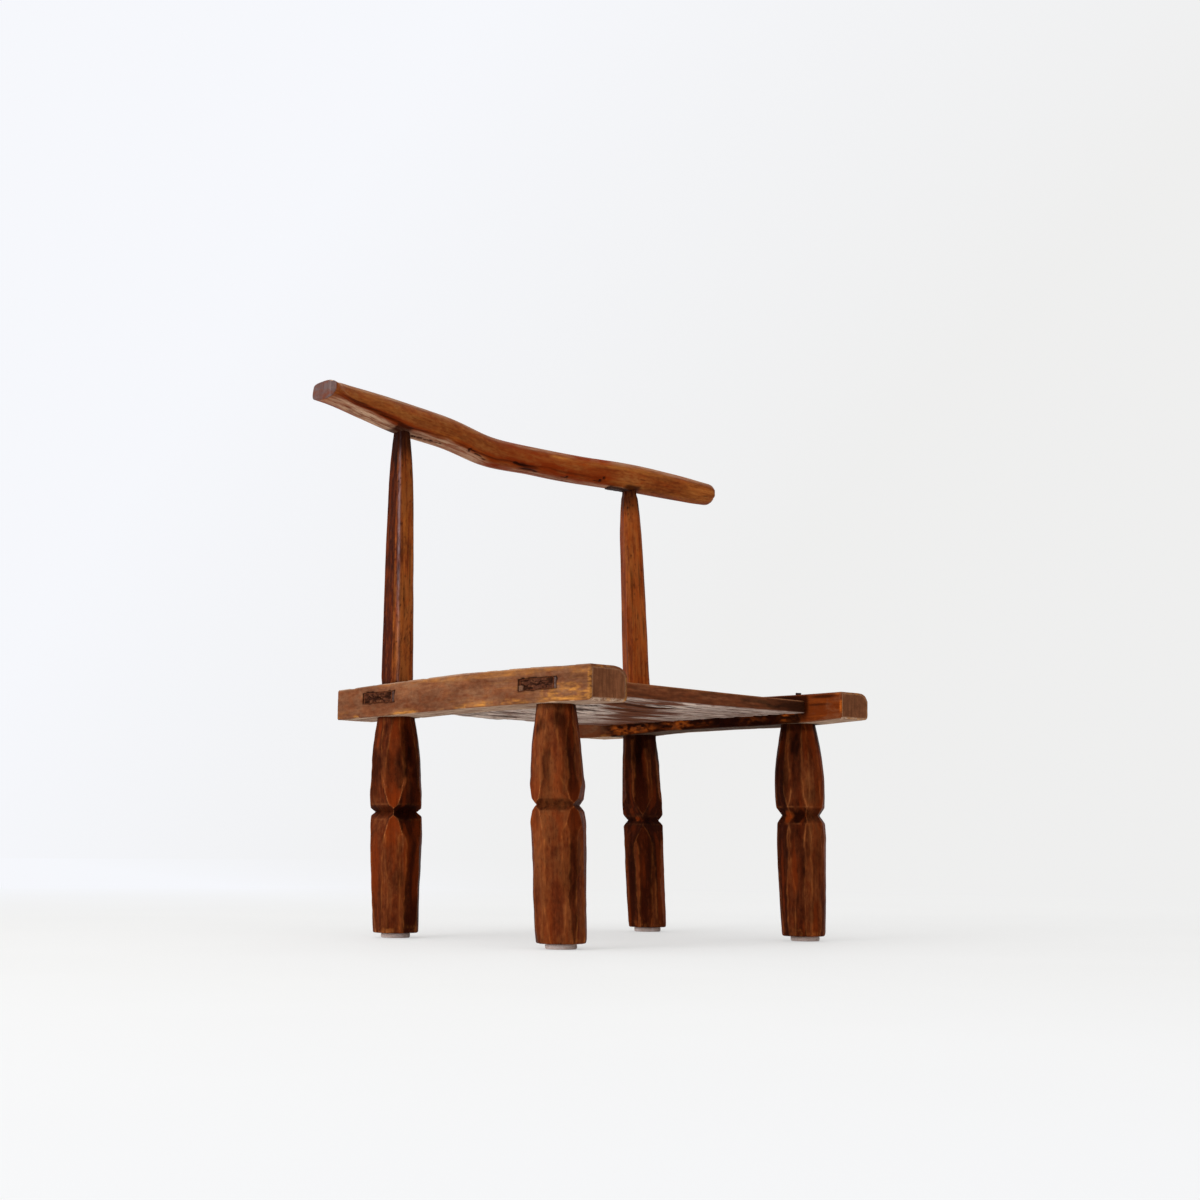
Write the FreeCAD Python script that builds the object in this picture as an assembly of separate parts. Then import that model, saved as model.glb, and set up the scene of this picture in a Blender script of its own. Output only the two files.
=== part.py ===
import FreeCAD, Part
import math
import os

os.makedirs("parts", exist_ok=True)

# A low carved birthing chair: two side rails, a board seat tenoned through them,
# four faceted legs, two back posts and a crooked branch as the crest rail.
# Millimetres. The chair faces -Y and +Z is up. Left and right are as seen from the
# front, so +X is the right-hand side.
# The model is drawn round the middle of the four leg heads and then set
# so that the origin is the bottom centre of the whole chair.

# Where the legs stand
leg_span_width = 334.0
leg_span_depth = 258.8
front_leg_stagger = 4.8
left_rail_toe = 4.2
right_rail_toe = 2.0
leg_rake = 8.0
leg_side_lean = 2.4

# Side rails
rail_front_overhang = 78.0
left_rail_back_overhang = 76.6
right_rail_back_overhang = 88.0
left_rail_width = 46.4
right_rail_width = 41.0
left_rail_height = 33.0
right_rail_height = 32.4
left_rail_underside = 227.2
right_rail_underside = 221.4
rail_worn_edge_radius = 8.5
rail_arris_radius = 2.2

# Seat board and its through tenons
seat_front_overhang = 25.6
seat_back_overhang = 47.6
seat_left_thickness = 14.6
seat_right_thickness = 11.8
seat_left_rise = 26.0
seat_right_rise = 24.8
seat_belly = 1.8
seat_hollow = 0.2
mortise_width = 57.0
mortise_height = 11.2
tenon_shim_thickness = 4.4
tenon_shim_length = 24.0
filler_width = 6.2
filler_height = 5.4
filler_length = 12.0

# Legs
leg_width = 50.0
leg_tenon_diameter = 26.0
rear_leg_stub_diameter = 28.0
notch_reach = 13.0
leg_foot_arris = 1.6

# Back posts
left_post_width = 30.4
right_post_width = 29.6
post_neck_width = 17.4
post_back_lean = 11.0
post_inward_lean = 6.4
right_post_inset = 2.0
right_post_setback = 1.8
post_tenon_diameter = 19.0
post_tenon_in_leg = 20.0
crest_tenon_diameter = 13.0
crest_tenon_length = 15.0

# Crest rail
crest_length = 547.0
crest_left_overhang = 124.0
crest_left_height = 552.0
crest_drop = 40.8
crest_section_height = 34.2
crest_section_depth = 38.0
crest_bow = 18.0
crest_end_rounding = 4.0

# Small fitted pieces
wedge_thickness = 3.2
wedge_depth = 18.0
wedge_stub_width = 5.2
wedge_stub_height = 4.4
crest_shim_length = 24.0
crest_shim_width = 11.0
crest_shim_thickness = 1.8
foot_pad_diameter = 30.0
foot_pad_thickness = 5.0
foot_pad_offset = 1.6

# Clearance round every tenon and wedge, and the overrun of every cut
fit_clearance = 0.15
overrun = 4.0


def vector(x, y, z):
    return FreeCAD.Vector(x, y, z)


def ring(points):
    # A closed flat outline of straight sides.
    return Part.makePolygon(points + [points[0]])


def ruled_solid(wires):
    return Part.makeLoft(wires, True, True)


def box_between(low, high):
    size = high.sub(low)
    return Part.makeBox(size.x, size.y, size.z, low)


def upright_cylinder(diameter, x, y, low, high):
    return Part.makeCylinder(diameter / 2, high - low, vector(x, y, low))


def blend(low, high, share):
    return low + (high - low) * share


# Leg heads at the undersides of the rails, and the feet below them.
# Each leg leans a little: the feet stand ahead of the heads.
half_width = leg_span_width / 2
half_depth = leg_span_depth / 2
leg_heads = {
    "rear_left": (-half_width - left_rail_toe / 2, half_depth),
    "front_left": (-half_width + left_rail_toe / 2, -half_depth - front_leg_stagger / 2),
    "rear_right": (half_width + right_rail_toe / 2, half_depth),
    "front_right": (half_width - right_rail_toe / 2, -half_depth + front_leg_stagger / 2),
}
leg_rake_share = {"rear_left": 0.66, "front_left": 1.05, "rear_right": 1.3, "front_right": 0.93}
leg_lean_share = {"rear_left": 0.6, "front_left": 1.2, "rear_right": 2.0, "front_right": 0.0}
leg_feet = {}
for corner, (head_x, head_y) in leg_heads.items():
    foot_x = head_x + leg_side_lean * leg_lean_share[corner]
    foot_y = head_y - leg_rake * leg_rake_share[corner]
    leg_feet[corner] = (foot_x, foot_y)


def is_left(corner):
    return corner.endswith("left")


def rail_underside(corner):
    return left_rail_underside if is_left(corner) else right_rail_underside


def rail_top(corner):
    rise = left_rail_height if is_left(corner) else right_rail_height
    return rail_underside(corner) + rise


def rail_centre_x(left, y):
    # Both rails open out a little towards the back, the left one more.
    if left:
        return -half_width - left_rail_toe * y / leg_span_depth
    return half_width + right_rail_toe * y / leg_span_depth


# Side rails. Each is a row of rounded sections along its length, with a slightly
# crowned top and an uneven underside, as worked with an adze.
# Stations run from the front end to the back end.
rail_station_share = [0.0, 0.004, 0.13, 0.3, 0.47, 0.64, 0.82, 0.996, 1.0]
rail_end_inset_share = [0.4, 0.0, 0.0, 0.0, 0.0, 0.0, 0.0, 0.0, 0.4]
left_top_share = [0.01, 0.02, 0.04, 0.06, 0.07, 0.02, -0.01, -0.08, -0.09]
left_underside_share = [-0.01, -0.01, 0.01, 0.02, 0.02, 0.0, -0.03, -0.05, -0.05]
right_top_share = [0.0, 0.0, 0.0, 0.02, 0.03, 0.02, 0.0, -0.03, -0.03]
right_underside_share = [0.15, 0.15, 0.09, 0.06, 0.08, 0.07, -0.02, -0.01, -0.01]


def rounded_section(y, west, east, low, high, west_top_radius, east_top_radius, arris):
    # A rectangle in the XZ plane with four rounded corners, going round from the
    # lower west corner. Every section has the same eight edges, so they loft cleanly.
    diagonal_share = math.sqrt(0.5)
    corners = [
        (west + arris, low + arris, arris, -1, -1),
        (east - arris, low + arris, arris, 1, -1),
        (east - east_top_radius, high - east_top_radius, east_top_radius, 1, 1),
        (west + west_top_radius, high - west_top_radius, west_top_radius, -1, 1),
    ]
    arcs = []
    for number, (x, z, radius, side_x, side_z) in enumerate(corners):
        flat_side = vector(x + side_x * radius, y, z)
        flat_end = vector(x, y, z + side_z * radius)
        middle = vector(x + side_x * radius * diagonal_share, y,
                        z + side_z * radius * diagonal_share)
        ends = [flat_side, flat_end] if number % 2 == 0 else [flat_end, flat_side]
        arcs.append((ends[0], middle, ends[1]))
    edges = []
    for number, (start, middle, end) in enumerate(arcs):
        following = arcs[(number + 1) % len(arcs)][0]
        edges.append(Part.Arc(start, middle, end).toShape())
        edges.append(Part.LineSegment(end, following).toShape())
    return Part.Wire(edges)


def side_rail(left):
    back_overhang = left_rail_back_overhang if left else right_rail_back_overhang
    front = -half_depth - rail_front_overhang
    back = half_depth + back_overhang
    width = left_rail_width if left else right_rail_width
    height = left_rail_height if left else right_rail_height
    underside = left_rail_underside if left else right_rail_underside
    tops = left_top_share if left else right_top_share
    undersides = left_underside_share if left else right_underside_share
    sections = []
    for number, along_share in enumerate(rail_station_share):
        y = blend(front, back, along_share)
        inset = rail_arris_radius * rail_end_inset_share[number]
        west = rail_centre_x(left, y) - width / 2 + inset
        east = rail_centre_x(left, y) + width / 2 - inset
        low = underside + height * undersides[number] + inset
        high = underside + height * (1 + tops[number]) - inset
        # The worn, well rounded top edge is the inner one on the left rail and
        # the outer one on the right rail: in both it is the east edge.
        sections.append(rounded_section(y, west, east, low, high,
                                        rail_arris_radius, rail_worn_edge_radius,
                                        rail_arris_radius))
    return ruled_solid(sections)


left_rail_blank = side_rail(True)
right_rail_blank = side_rail(False)


def rail_blank(corner):
    return left_rail_blank if is_left(corner) else right_rail_blank


# Seat board. Its top sits a little below the rail tops, and four tenons
# pass through the rails, one over each leg.
def seat_top(corner):
    return rail_underside(corner) + (seat_left_rise if is_left(corner) else seat_right_rise)


def seat_low(corner):
    return seat_top(corner) - (seat_left_thickness if is_left(corner) else seat_right_thickness)


def mortise_low(corner):
    # Midway in the board's thickness, so the tenon has a small shoulder above and below.
    return (seat_top(corner) + seat_low(corner) - mortise_height) / 2


def mortise_box(corner, clearance):
    # The hole through the rail, centred on the leg head and cut along X.
    head_x, head_y = leg_heads[corner]
    width = left_rail_width if is_left(corner) else right_rail_width
    reach = width / 2 + overrun
    low = vector(head_x - reach, head_y - mortise_width / 2 - clearance,
                 mortise_low(corner) - clearance)
    high = vector(head_x + reach, head_y + mortise_width / 2 + clearance,
                  mortise_low(corner) + mortise_height + clearance)
    return box_between(low, high)


def tenon_box(corner):
    # The tenon fills the mortise from its back end up to the shim at its front end.
    head_x, head_y = leg_heads[corner]
    width = left_rail_width if is_left(corner) else right_rail_width
    reach = width / 2 + overrun
    front = head_y - mortise_width / 2 + tenon_shim_thickness + fit_clearance
    low = vector(head_x - reach, front, mortise_low(corner))
    high = vector(head_x + reach, head_y + mortise_width / 2, mortise_low(corner) + mortise_height)
    return box_between(low, high)


def seat_blank():
    front = -half_depth - seat_front_overhang
    back = half_depth + seat_back_overhang
    west = -half_width - overrun
    east = half_width + overrun
    top_west = seat_top("front_left")
    top_east = seat_top("front_right")
    low_west = seat_low("front_left")
    low_east = seat_low("front_right")
    middle_top = (top_west + top_east) / 2 - seat_hollow
    middle_low = (low_west + low_east) / 2 - seat_belly
    edges = [
        Part.LineSegment(vector(west, front, low_west), vector(west, front, top_west)).toShape(),
        Part.Arc(vector(west, front, top_west), vector(0, front, middle_top),
                 vector(east, front, top_east)).toShape(),
        Part.LineSegment(vector(east, front, top_east), vector(east, front, low_east)).toShape(),
        Part.Arc(vector(east, front, low_east), vector(0, front, middle_low),
                 vector(west, front, low_west)).toShape(),
    ]
    return Part.Face(Part.Wire(edges)).extrude(vector(0, back - front, 0))


# The small filler sits in the lower back corner of the front left mortise.
filler_corner = "front_left"


def filler_box(clearance):
    head_x, head_y = leg_heads[filler_corner]
    outer = head_x - left_rail_width / 2
    back = head_y + mortise_width / 2
    low = vector(outer - overrun, back - filler_width - clearance, mortise_low(filler_corner))
    high = vector(outer + filler_length + clearance, back,
                  mortise_low(filler_corner) + filler_height + clearance)
    return box_between(low, high)


def seat_board():
    board = seat_blank().cut(left_rail_blank).cut(right_rail_blank)
    for corner, (head_x, head_y) in leg_heads.items():
        tenon = tenon_box(corner).common(rail_blank(corner))
        board = board.fuse(tenon)
    for corner, (head_x, head_y) in leg_heads.items():
        pin_diameter = leg_tenon_diameter if corner.startswith("front") else post_tenon_diameter
        hole = upright_cylinder(pin_diameter + 2 * fit_clearance, head_x, head_y,
                                seat_low(corner) - overrun, seat_top(corner) + overrun)
        board = board.cut(hole)
    return board.cut(filler_box(fit_clearance)).removeSplitter()


def tenon_shim(corner):
    # A flat shim driven in at the front end of the tenon from outside.
    head_x, head_y = leg_heads[corner]
    outward = -1 if is_left(corner) else 1
    width = left_rail_width if is_left(corner) else right_rail_width
    outer = head_x + outward * (width / 2 + overrun)
    inner = head_x + outward * (width / 2 - tenon_shim_length)
    front = head_y - mortise_width / 2
    low = vector(min(outer, inner), front, mortise_low(corner))
    high = vector(max(outer, inner), front + tenon_shim_thickness,
                  mortise_low(corner) + mortise_height)
    return box_between(low, high).common(rail_blank(corner))


def finished_rail(left):
    rail = left_rail_blank if left else right_rail_blank
    for corner, (head_x, head_y) in leg_heads.items():
        if is_left(corner) != left:
            continue
        rail = rail.cut(mortise_box(corner, fit_clearance))
        if corner.startswith("front"):
            rail = rail.cut(upright_cylinder(leg_tenon_diameter + 2 * fit_clearance,
                                             head_x, head_y,
                                             rail_underside(corner) - overrun,
                                             rail_top(corner) + overrun))
            continue
        rail = rail.cut(upright_cylinder(rear_leg_stub_diameter + 2 * fit_clearance,
                                         head_x, head_y,
                                         rail_underside(corner) - overrun,
                                         mortise_low(corner)))
        rail = rail.cut(upright_cylinder(post_tenon_diameter + 2 * fit_clearance,
                                         head_x, head_y, mortise_low(corner),
                                         rail_top(corner) + overrun))
    return rail


# Legs and posts are eight sided. Four main facets and four corner facets take turns.
facet_count = 8


def octagon(x, y, z, flat, corner_flat, turn_share):
    # Facet number k faces the angle (k / 8 + turn_share) of a full turn. Its distance
    # from the axis is flat or corner_flat, and neighbouring facets meet in a vertex.
    points = []
    facet_angle = 2 * math.pi / facet_count
    for number in range(facet_count):
        angle = number * facet_angle + turn_share * 2 * math.pi
        near, far = (flat, corner_flat) if number % 2 == 0 else (corner_flat, flat)
        across = (far - near * math.cos(facet_angle)) / math.sin(facet_angle)
        px = x + near * math.cos(angle) - across * math.sin(angle)
        py = y + near * math.sin(angle) + across * math.cos(angle)
        points.append(vector(px, py, z))
    return ring(points)


# Leg outline. The lower body runs from the foot to the notch and the upper body
# from the notch to the rail, each with widths as shares of the leg's own width.
lower_body_share = [(0.0, 0.9), (0.25, 0.945), (0.6, 0.965)]
upper_lip_share = 0.97
upper_shoulder_share = 1.01
upper_body_share = [(0.3, 0.985), (0.55, 0.92), (0.8, 0.82), (1.0, 0.72)]
shoulder_reach_share = 1.9
lip_reach_share = 0.62
plain_corner_share = 1.02
shoulder_corner_share = 1.06
lip_corner_share = 1.2
notch_corner_share = 1.39
leg_girth_share = {"rear_left": 0.93, "front_left": 0.95, "rear_right": 0.86, "front_right": 0.89}
leg_upper_share = {"rear_left": 0.98, "front_left": 0.95, "rear_right": 0.925, "front_right": 1.0}
leg_head_share = {"rear_left": 0.96, "front_left": 1.02, "rear_right": 1.12, "front_right": 1.0}
lower_shoulder_share = {"rear_left": 1.02, "front_left": 1.0, "rear_right": 0.94, "front_right": 1.0}
lower_lip_share = {"rear_left": 0.9, "front_left": 0.89, "rear_right": 0.83, "front_right": 0.92}
notch_height_share = {"rear_left": 0.557, "front_left": 0.577, "rear_right": 0.557, "front_right": 0.569}
notch_core_share = {"rear_left": 0.61, "front_left": 0.63, "rear_right": 0.56, "front_right": 0.65}
leg_turn_share = {"rear_left": 0.238, "front_left": 0.112, "rear_right": 0.24, "front_right": 0.19}


def leg_sections(corner):
    # Rows of height, half width of the main facets and half width of the corner facets.
    base = foot_pad_thickness
    head = rail_underside(corner) + overrun
    half = leg_width * leg_girth_share[corner] / 2
    upper = half * leg_upper_share[corner]
    notch = blend(base, rail_underside(corner), notch_height_share[corner])
    lip = notch_reach * lip_reach_share
    shoulder = notch_reach * shoulder_reach_share
    rows = []
    first_flat = half * lower_body_share[0][1]
    rows.append((base, first_flat - leg_foot_arris, plain_corner_share))
    for along_share, width_share in lower_body_share:
        height = blend(base + leg_foot_arris, notch - shoulder, along_share)
        rows.append((height, half * width_share, plain_corner_share))
    rows.append((notch - shoulder, half * lower_shoulder_share[corner], shoulder_corner_share))
    rows.append((notch - lip, half * lower_lip_share[corner], lip_corner_share))
    rows.append((notch, half * notch_core_share[corner], notch_corner_share))
    rows.append((notch + lip, upper * upper_lip_share, lip_corner_share))
    rows.append((notch + shoulder, upper * upper_shoulder_share, shoulder_corner_share))
    for along_share, width_share in upper_body_share:
        height = blend(notch + shoulder, head, along_share)
        head_share = blend(1, leg_head_share[corner], along_share)
        rows.append((height, upper * width_share * head_share, plain_corner_share))
    return [(height, flat, flat * ratio) for height, flat, ratio in rows]


def leg(corner):
    head_x, head_y = leg_heads[corner]
    foot_x, foot_y = leg_feet[corner]
    base = foot_pad_thickness
    span = rail_underside(corner) - base
    wires = []
    for height, flat, corner_flat in leg_sections(corner):
        up_share = (height - base) / span
        x = blend(foot_x, head_x, up_share)
        y = blend(foot_y, head_y, up_share)
        wires.append(octagon(x, y, height, flat, corner_flat, leg_turn_share[corner]))
    # The head is scribed to the rail, so it meets the underside all round.
    body = ruled_solid(wires).cut(rail_blank(corner))
    if corner.startswith("front"):
        tenon = upright_cylinder(leg_tenon_diameter, head_x, head_y,
                                 rail_underside(corner) - overrun,
                                 rail_top(corner) + overrun)
        tenon = tenon.common(rail_blank(corner).fuse(body))
        return body.fuse(tenon).cut(wedge_solid(corner, fit_clearance)).removeSplitter()
    stub_low = rail_underside(corner) - overrun
    stub = upright_cylinder(rear_leg_stub_diameter, head_x, head_y, stub_low,
                            mortise_low(corner) - fit_clearance)
    socket = upright_cylinder(post_tenon_diameter + 2 * fit_clearance, head_x, head_y,
                              post_tenon_low(corner) - fit_clearance,
                              mortise_low(corner) + overrun)
    return body.fuse(stub).cut(socket).removeSplitter()


def post_tenon_low(corner):
    return rail_underside(corner) - post_tenon_in_leg


# Wedges that spread the front legs' tenons at the rail tops.
wedge_toe_share = 0.35
proud_corner = "front_right"


def wedge_solid(corner, clearance):
    # A thin wedge across the tenon: full thickness at the top, thinner at its toe.
    head_x, head_y = leg_heads[corner]
    top = rail_top(corner)
    reach = leg_tenon_diameter / 2 - rail_arris_radius
    thick = wedge_thickness / 2 + clearance
    thin = thick * wedge_toe_share
    toe = top - wedge_depth - clearance
    sections = []
    for height, half in ((toe, thin), (top + overrun, thick)):
        sections.append(ring([
            vector(head_x - reach - clearance, head_y - half, height),
            vector(head_x + reach + clearance, head_y - half, height),
            vector(head_x + reach + clearance, head_y + half, height),
            vector(head_x - reach - clearance, head_y + half, height),
        ]))
    return ruled_solid(sections)


def leg_wedge(corner):
    wedge = wedge_solid(corner, 0).common(rail_blank(corner))
    if corner != proud_corner:
        return wedge
    # This wedge was never trimmed right down: a splinter of it stands proud.
    head_x, head_y = leg_heads[corner]
    half = wedge_thickness / 2
    stub = box_between(
        vector(head_x - wedge_stub_width / 2, head_y - half * (1 + wedge_toe_share) / 2,
               rail_top(corner) - wedge_stub_height),
        vector(head_x + wedge_stub_width / 2, head_y + half * (1 + wedge_toe_share) / 2,
               rail_top(corner) + wedge_stub_height))
    return wedge.fuse(stub).removeSplitter()


# Crest rail: a naturally crooked branch, bowed back between the posts and
# falling from its left end to its right end.
crest_station_share = [0.0, 0.115, 0.225, 0.344, 0.463, 0.582, 0.701, 0.817, 0.921, 1.0]
crest_rise_share = [1.0, 0.978, 0.873, 0.758, 0.488, 0.42, 0.354, 0.302, 0.156, 0.0]
crest_girth_share = [0.72, 0.85, 1.0, 0.975, 0.955, 0.915, 0.93, 0.94, 0.87, 0.79]
# One unit section, going round from the top, with forward and up as shares.
crest_outline_share = [
    (0.02, 0.5), (0.32, 0.39), (0.48, 0.13), (0.47, -0.14), (0.33, -0.38),
    (0.02, -0.5), (-0.3, -0.42), (-0.48, -0.14), (-0.47, 0.16), (-0.3, 0.41),
]
crest_middle_x = (leg_heads["rear_left"][0] + leg_heads["rear_right"][0]) / 2
crest_half_span = (leg_heads["rear_right"][0] - leg_heads["rear_left"][0]) / 2 - post_inward_lean
crest_post_y = half_depth + post_back_lean
crest_left_x = crest_middle_x - crest_half_span - crest_left_overhang


def table_value(stations, values, place):
    # A smooth curve through a table of shares: a cubic in each span, whose slope at
    # each station is that of the chord between its neighbours.
    last = len(stations) - 1
    slopes = []
    for number in range(last + 1):
        before, after = max(number - 1, 0), min(number + 1, last)
        slopes.append((values[after] - values[before]) / (stations[after] - stations[before]))
    for number in range(last):
        span = stations[number + 1] - stations[number]
        t = (place - stations[number]) / span
        if t <= 1 or number == last - 1:
            start_part = (1 + 2 * t) * (1 - t) ** 2 * values[number]
            end_part = t ** 2 * (3 - 2 * t) * values[number + 1]
            bend = t * (1 - t) * ((1 - t) * slopes[number] - t * slopes[number + 1])
            return start_part + end_part + bend * span


def crest_centre(along_share):
    x = crest_left_x + crest_length * along_share
    y = crest_post_y + crest_bow * (1 - ((x - crest_middle_x) / crest_half_span) ** 2)
    rise = table_value(crest_station_share, crest_rise_share, along_share)
    return vector(x, y, crest_left_height - crest_drop * (1 - rise))


def crest_section(along_share, slide, girth_share):
    # The section is square to the branch's run in plan. A positive slide moves it
    # towards the right-hand end, along that run.
    centre = crest_centre(along_share)
    slope = -2 * crest_bow * (centre.x - crest_middle_x) / crest_half_span ** 2
    length = math.hypot(1, slope)
    run = vector(1 / length, slope / length, 0)
    forward = vector(slope / length, -1 / length, 0)
    middle = centre + run * slide
    points = []
    for forward_share, up_share in crest_outline_share:
        depth = crest_section_depth * girth_share * forward_share
        rise = crest_section_height * girth_share * up_share
        points.append(middle + forward * depth + vector(0, 0, rise))
    curve = Part.BSplineCurve()
    curve.interpolate(points, PeriodicFlag=True)
    return Part.Wire([curve.toShape()])


crest_section_count = 24
crest_cap_share = [(0.6, 0.5), (1.0, 1.6)]


def crest_blank():
    # The left-hand end is a plain saw cut and the right-hand one is rounded over:
    # the last sections slide out while they shrink by the same wear.
    wires = []
    for number in range(crest_section_count):
        place = number / (crest_section_count - 1)
        girth = table_value(crest_station_share, crest_girth_share, place)
        wires.append(crest_section(place, 0, girth))
    worn = crest_end_rounding / crest_section_height
    for slide_share, worn_share in crest_cap_share:
        wires.append(crest_section(1.0, crest_end_rounding * slide_share,
                                   crest_girth_share[-1] - worn * worn_share))
    return ruled_solid(wires)


crest_body = crest_blank()


# Back posts, from the rail tops to the underside of the crest rail.
post_station_share = [0.0, 0.4, 0.75, 0.87, 0.94, 1.0]
post_girth_share = [1.0, 0.92, 0.82, 0.75, 0.67, 0.6]
post_corner_share = 1.03
post_turn_share = {"rear_left": 0.252, "rear_right": 0.2}
# The right post stands a little inside and behind the middle of its leg.
post_feet = {
    "rear_left": leg_heads["rear_left"],
    "rear_right": (leg_heads["rear_right"][0] - right_post_inset,
                   leg_heads["rear_right"][1] + right_post_setback),
}
post_heads = {
    "rear_left": (post_feet["rear_left"][0] + post_inward_lean,
                  post_feet["rear_left"][1] + post_back_lean),
    "rear_right": (post_feet["rear_right"][0] - post_inward_lean,
                   post_feet["rear_right"][1] + post_back_lean),
}


def crest_low(x):
    # The branch's lowest height at a place along X.
    along_share = (x - crest_left_x) / crest_length
    girth_share = table_value(crest_station_share, crest_girth_share, along_share)
    return crest_centre(along_share).z - crest_section_height * girth_share / 2


def crest_underside(corner):
    return crest_low(post_heads[corner][0])


def post(corner):
    head_x, head_y = leg_heads[corner]
    low_x, low_y = post_feet[corner]
    high_x, high_y = post_heads[corner]
    width = left_post_width if is_left(corner) else right_post_width
    low = rail_top(corner) - overrun
    high = crest_underside(corner) + overrun
    wires = []
    for along_share, girth in zip(post_station_share, post_girth_share):
        x = blend(low_x, high_x, along_share)
        y = blend(low_y, high_y, along_share)
        neck = post_neck_width / 2
        flat = neck + (width / 2 - neck) * (girth - post_girth_share[-1]) / (1 - post_girth_share[-1])
        wires.append(octagon(x, y, blend(low, high, along_share), flat,
                             flat * post_corner_share, post_turn_share[corner]))
    # Both ends are scribed, to the rail below and to the branch above. The lower
    # tenon runs down through the seat board's tenon into the leg.
    body = ruled_solid(wires).cut(rail_blank(corner)).cut(crest_body)
    lower = upright_cylinder(post_tenon_diameter, head_x, head_y, post_tenon_low(corner),
                             rail_top(corner) + overrun)
    upper = upright_cylinder(crest_tenon_diameter, high_x, high_y, high - overrun * 3,
                             crest_underside(corner) + crest_tenon_length)
    return body.fuse(lower).fuse(upper).removeSplitter()


def crest_rail():
    crest = crest_body
    for corner, (x, y) in post_heads.items():
        socket = upright_cylinder(crest_tenon_diameter + 2 * fit_clearance, x, y,
                                  crest_underside(corner) - overrun * 2,
                                  crest_underside(corner) + crest_tenon_length + fit_clearance)
        crest = crest.cut(socket)
    return crest


crest_shim_tip_share = 0.6


def crest_shim(right_post):
    # A sliver driven in beside the right post's neck. It lies along the branch's
    # underside, thinner towards its free end, and butts against the neck.
    x, y = post_heads["rear_right"]
    neck = x - post_neck_width / 2
    wires = []
    for place, thickness in ((neck - crest_shim_length, crest_shim_thickness * crest_shim_tip_share),
                             (neck, crest_shim_thickness)):
        top = crest_low(place) - fit_clearance
        wires.append(ring([
            vector(place, y - crest_shim_width / 2, top - thickness),
            vector(place, y + crest_shim_width / 2, top - thickness),
            vector(place, y + crest_shim_width / 2, top),
            vector(place, y - crest_shim_width / 2, top),
        ]))
    return ruled_solid(wires).cut(right_post)


# Felt pads under the feet.
def foot_pad(corner):
    foot_x, foot_y = leg_feet[corner]
    side = foot_pad_offset if corner == "front_right" else 0
    return upright_cylinder(foot_pad_diameter, foot_x + side, foot_y, 0, foot_pad_thickness)


right_post = post("rear_right")
nodes = {
    "left_rail": finished_rail(True),
    "right_rail": finished_rail(False),
    "seat_board": seat_board(),
    "crest_rail": crest_rail(),
    "left_back_post": post("rear_left"),
    "right_back_post": right_post,
    "crest_shim": crest_shim(right_post),
    "front_left_mortise_filler": filler_box(0).common(left_rail_blank),
}
for corner in leg_heads:
    nodes[corner + "_leg"] = leg(corner)
    nodes[corner + "_foot_pad"] = foot_pad(corner)
    nodes[corner + "_tenon_shim"] = tenon_shim(corner)
for corner in ("front_left", "front_right"):
    nodes[corner + "_leg_wedge"] = leg_wedge(corner)

# Set the origin at the bottom centre of the whole chair and write each piece.
whole = Part.makeCompound(list(nodes.values())).optimalBoundingBox(False, False)
to_origin = vector(-(whole.XMin + whole.XMax) / 2, -(whole.YMin + whole.YMax) / 2, -whole.ZMin)
for name, shape in nodes.items():
    shape.translate(to_origin)
    shape.exportStep("parts/" + name + ".step")
    box = shape.BoundBox
    print(name, "solids", len(shape.Solids), "valid", shape.isValid(), "volume", round(shape.Volume),
          "box", round(box.XLength, 1), round(box.YLength, 1), round(box.ZLength, 1))
print("overall", round(whole.XLength, 1), round(whole.YLength, 1), round(whole.ZLength, 1),
      "moved by", [round(value, 2) for value in to_origin])
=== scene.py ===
# %% [markdown]
# # A carved birthing chair
# The real thing is a low chair from hewn hardwood. Two heavy side rails carry a board seat, four
# knife-cut legs and two back posts, and a crooked branch is the crest rail. The imported CAD model
# gives the size and the place of every piece. Here each wooden piece gets the surface that an adze
# and a knife leave, and a waxed finish with wear, grime and dry grey wood where the real one has them.
# A few highlights and sheens are painted into the worn and dry colours as well.

# %% Load the imported chair
import bpy
import numpy as np
from mathutils import Matrix, Vector


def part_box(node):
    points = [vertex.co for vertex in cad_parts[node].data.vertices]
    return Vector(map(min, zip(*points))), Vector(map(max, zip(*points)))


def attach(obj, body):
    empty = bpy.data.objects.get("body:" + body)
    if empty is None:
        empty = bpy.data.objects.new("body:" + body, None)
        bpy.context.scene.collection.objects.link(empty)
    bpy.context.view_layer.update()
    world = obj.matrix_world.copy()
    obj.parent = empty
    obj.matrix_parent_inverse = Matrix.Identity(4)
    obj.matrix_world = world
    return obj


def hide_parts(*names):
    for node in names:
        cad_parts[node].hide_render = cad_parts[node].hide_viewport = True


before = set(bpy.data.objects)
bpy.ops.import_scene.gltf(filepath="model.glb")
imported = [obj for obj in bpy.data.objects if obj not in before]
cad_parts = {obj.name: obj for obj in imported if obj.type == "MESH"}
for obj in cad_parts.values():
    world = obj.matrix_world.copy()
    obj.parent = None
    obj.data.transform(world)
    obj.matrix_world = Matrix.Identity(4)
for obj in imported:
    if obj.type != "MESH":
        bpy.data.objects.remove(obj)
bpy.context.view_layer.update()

# %% [markdown]
# Hand work is never quite straight, so nearly every surface below is moved a little by noise. Blender
# has noise textures, but they live in materials. A small numpy version moves the points themselves, so
# that the mesh holds the shape too. All sizes are in millimetres until a piece becomes a mesh.

# %% Noise and smooth tables
CELLS = 32


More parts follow.
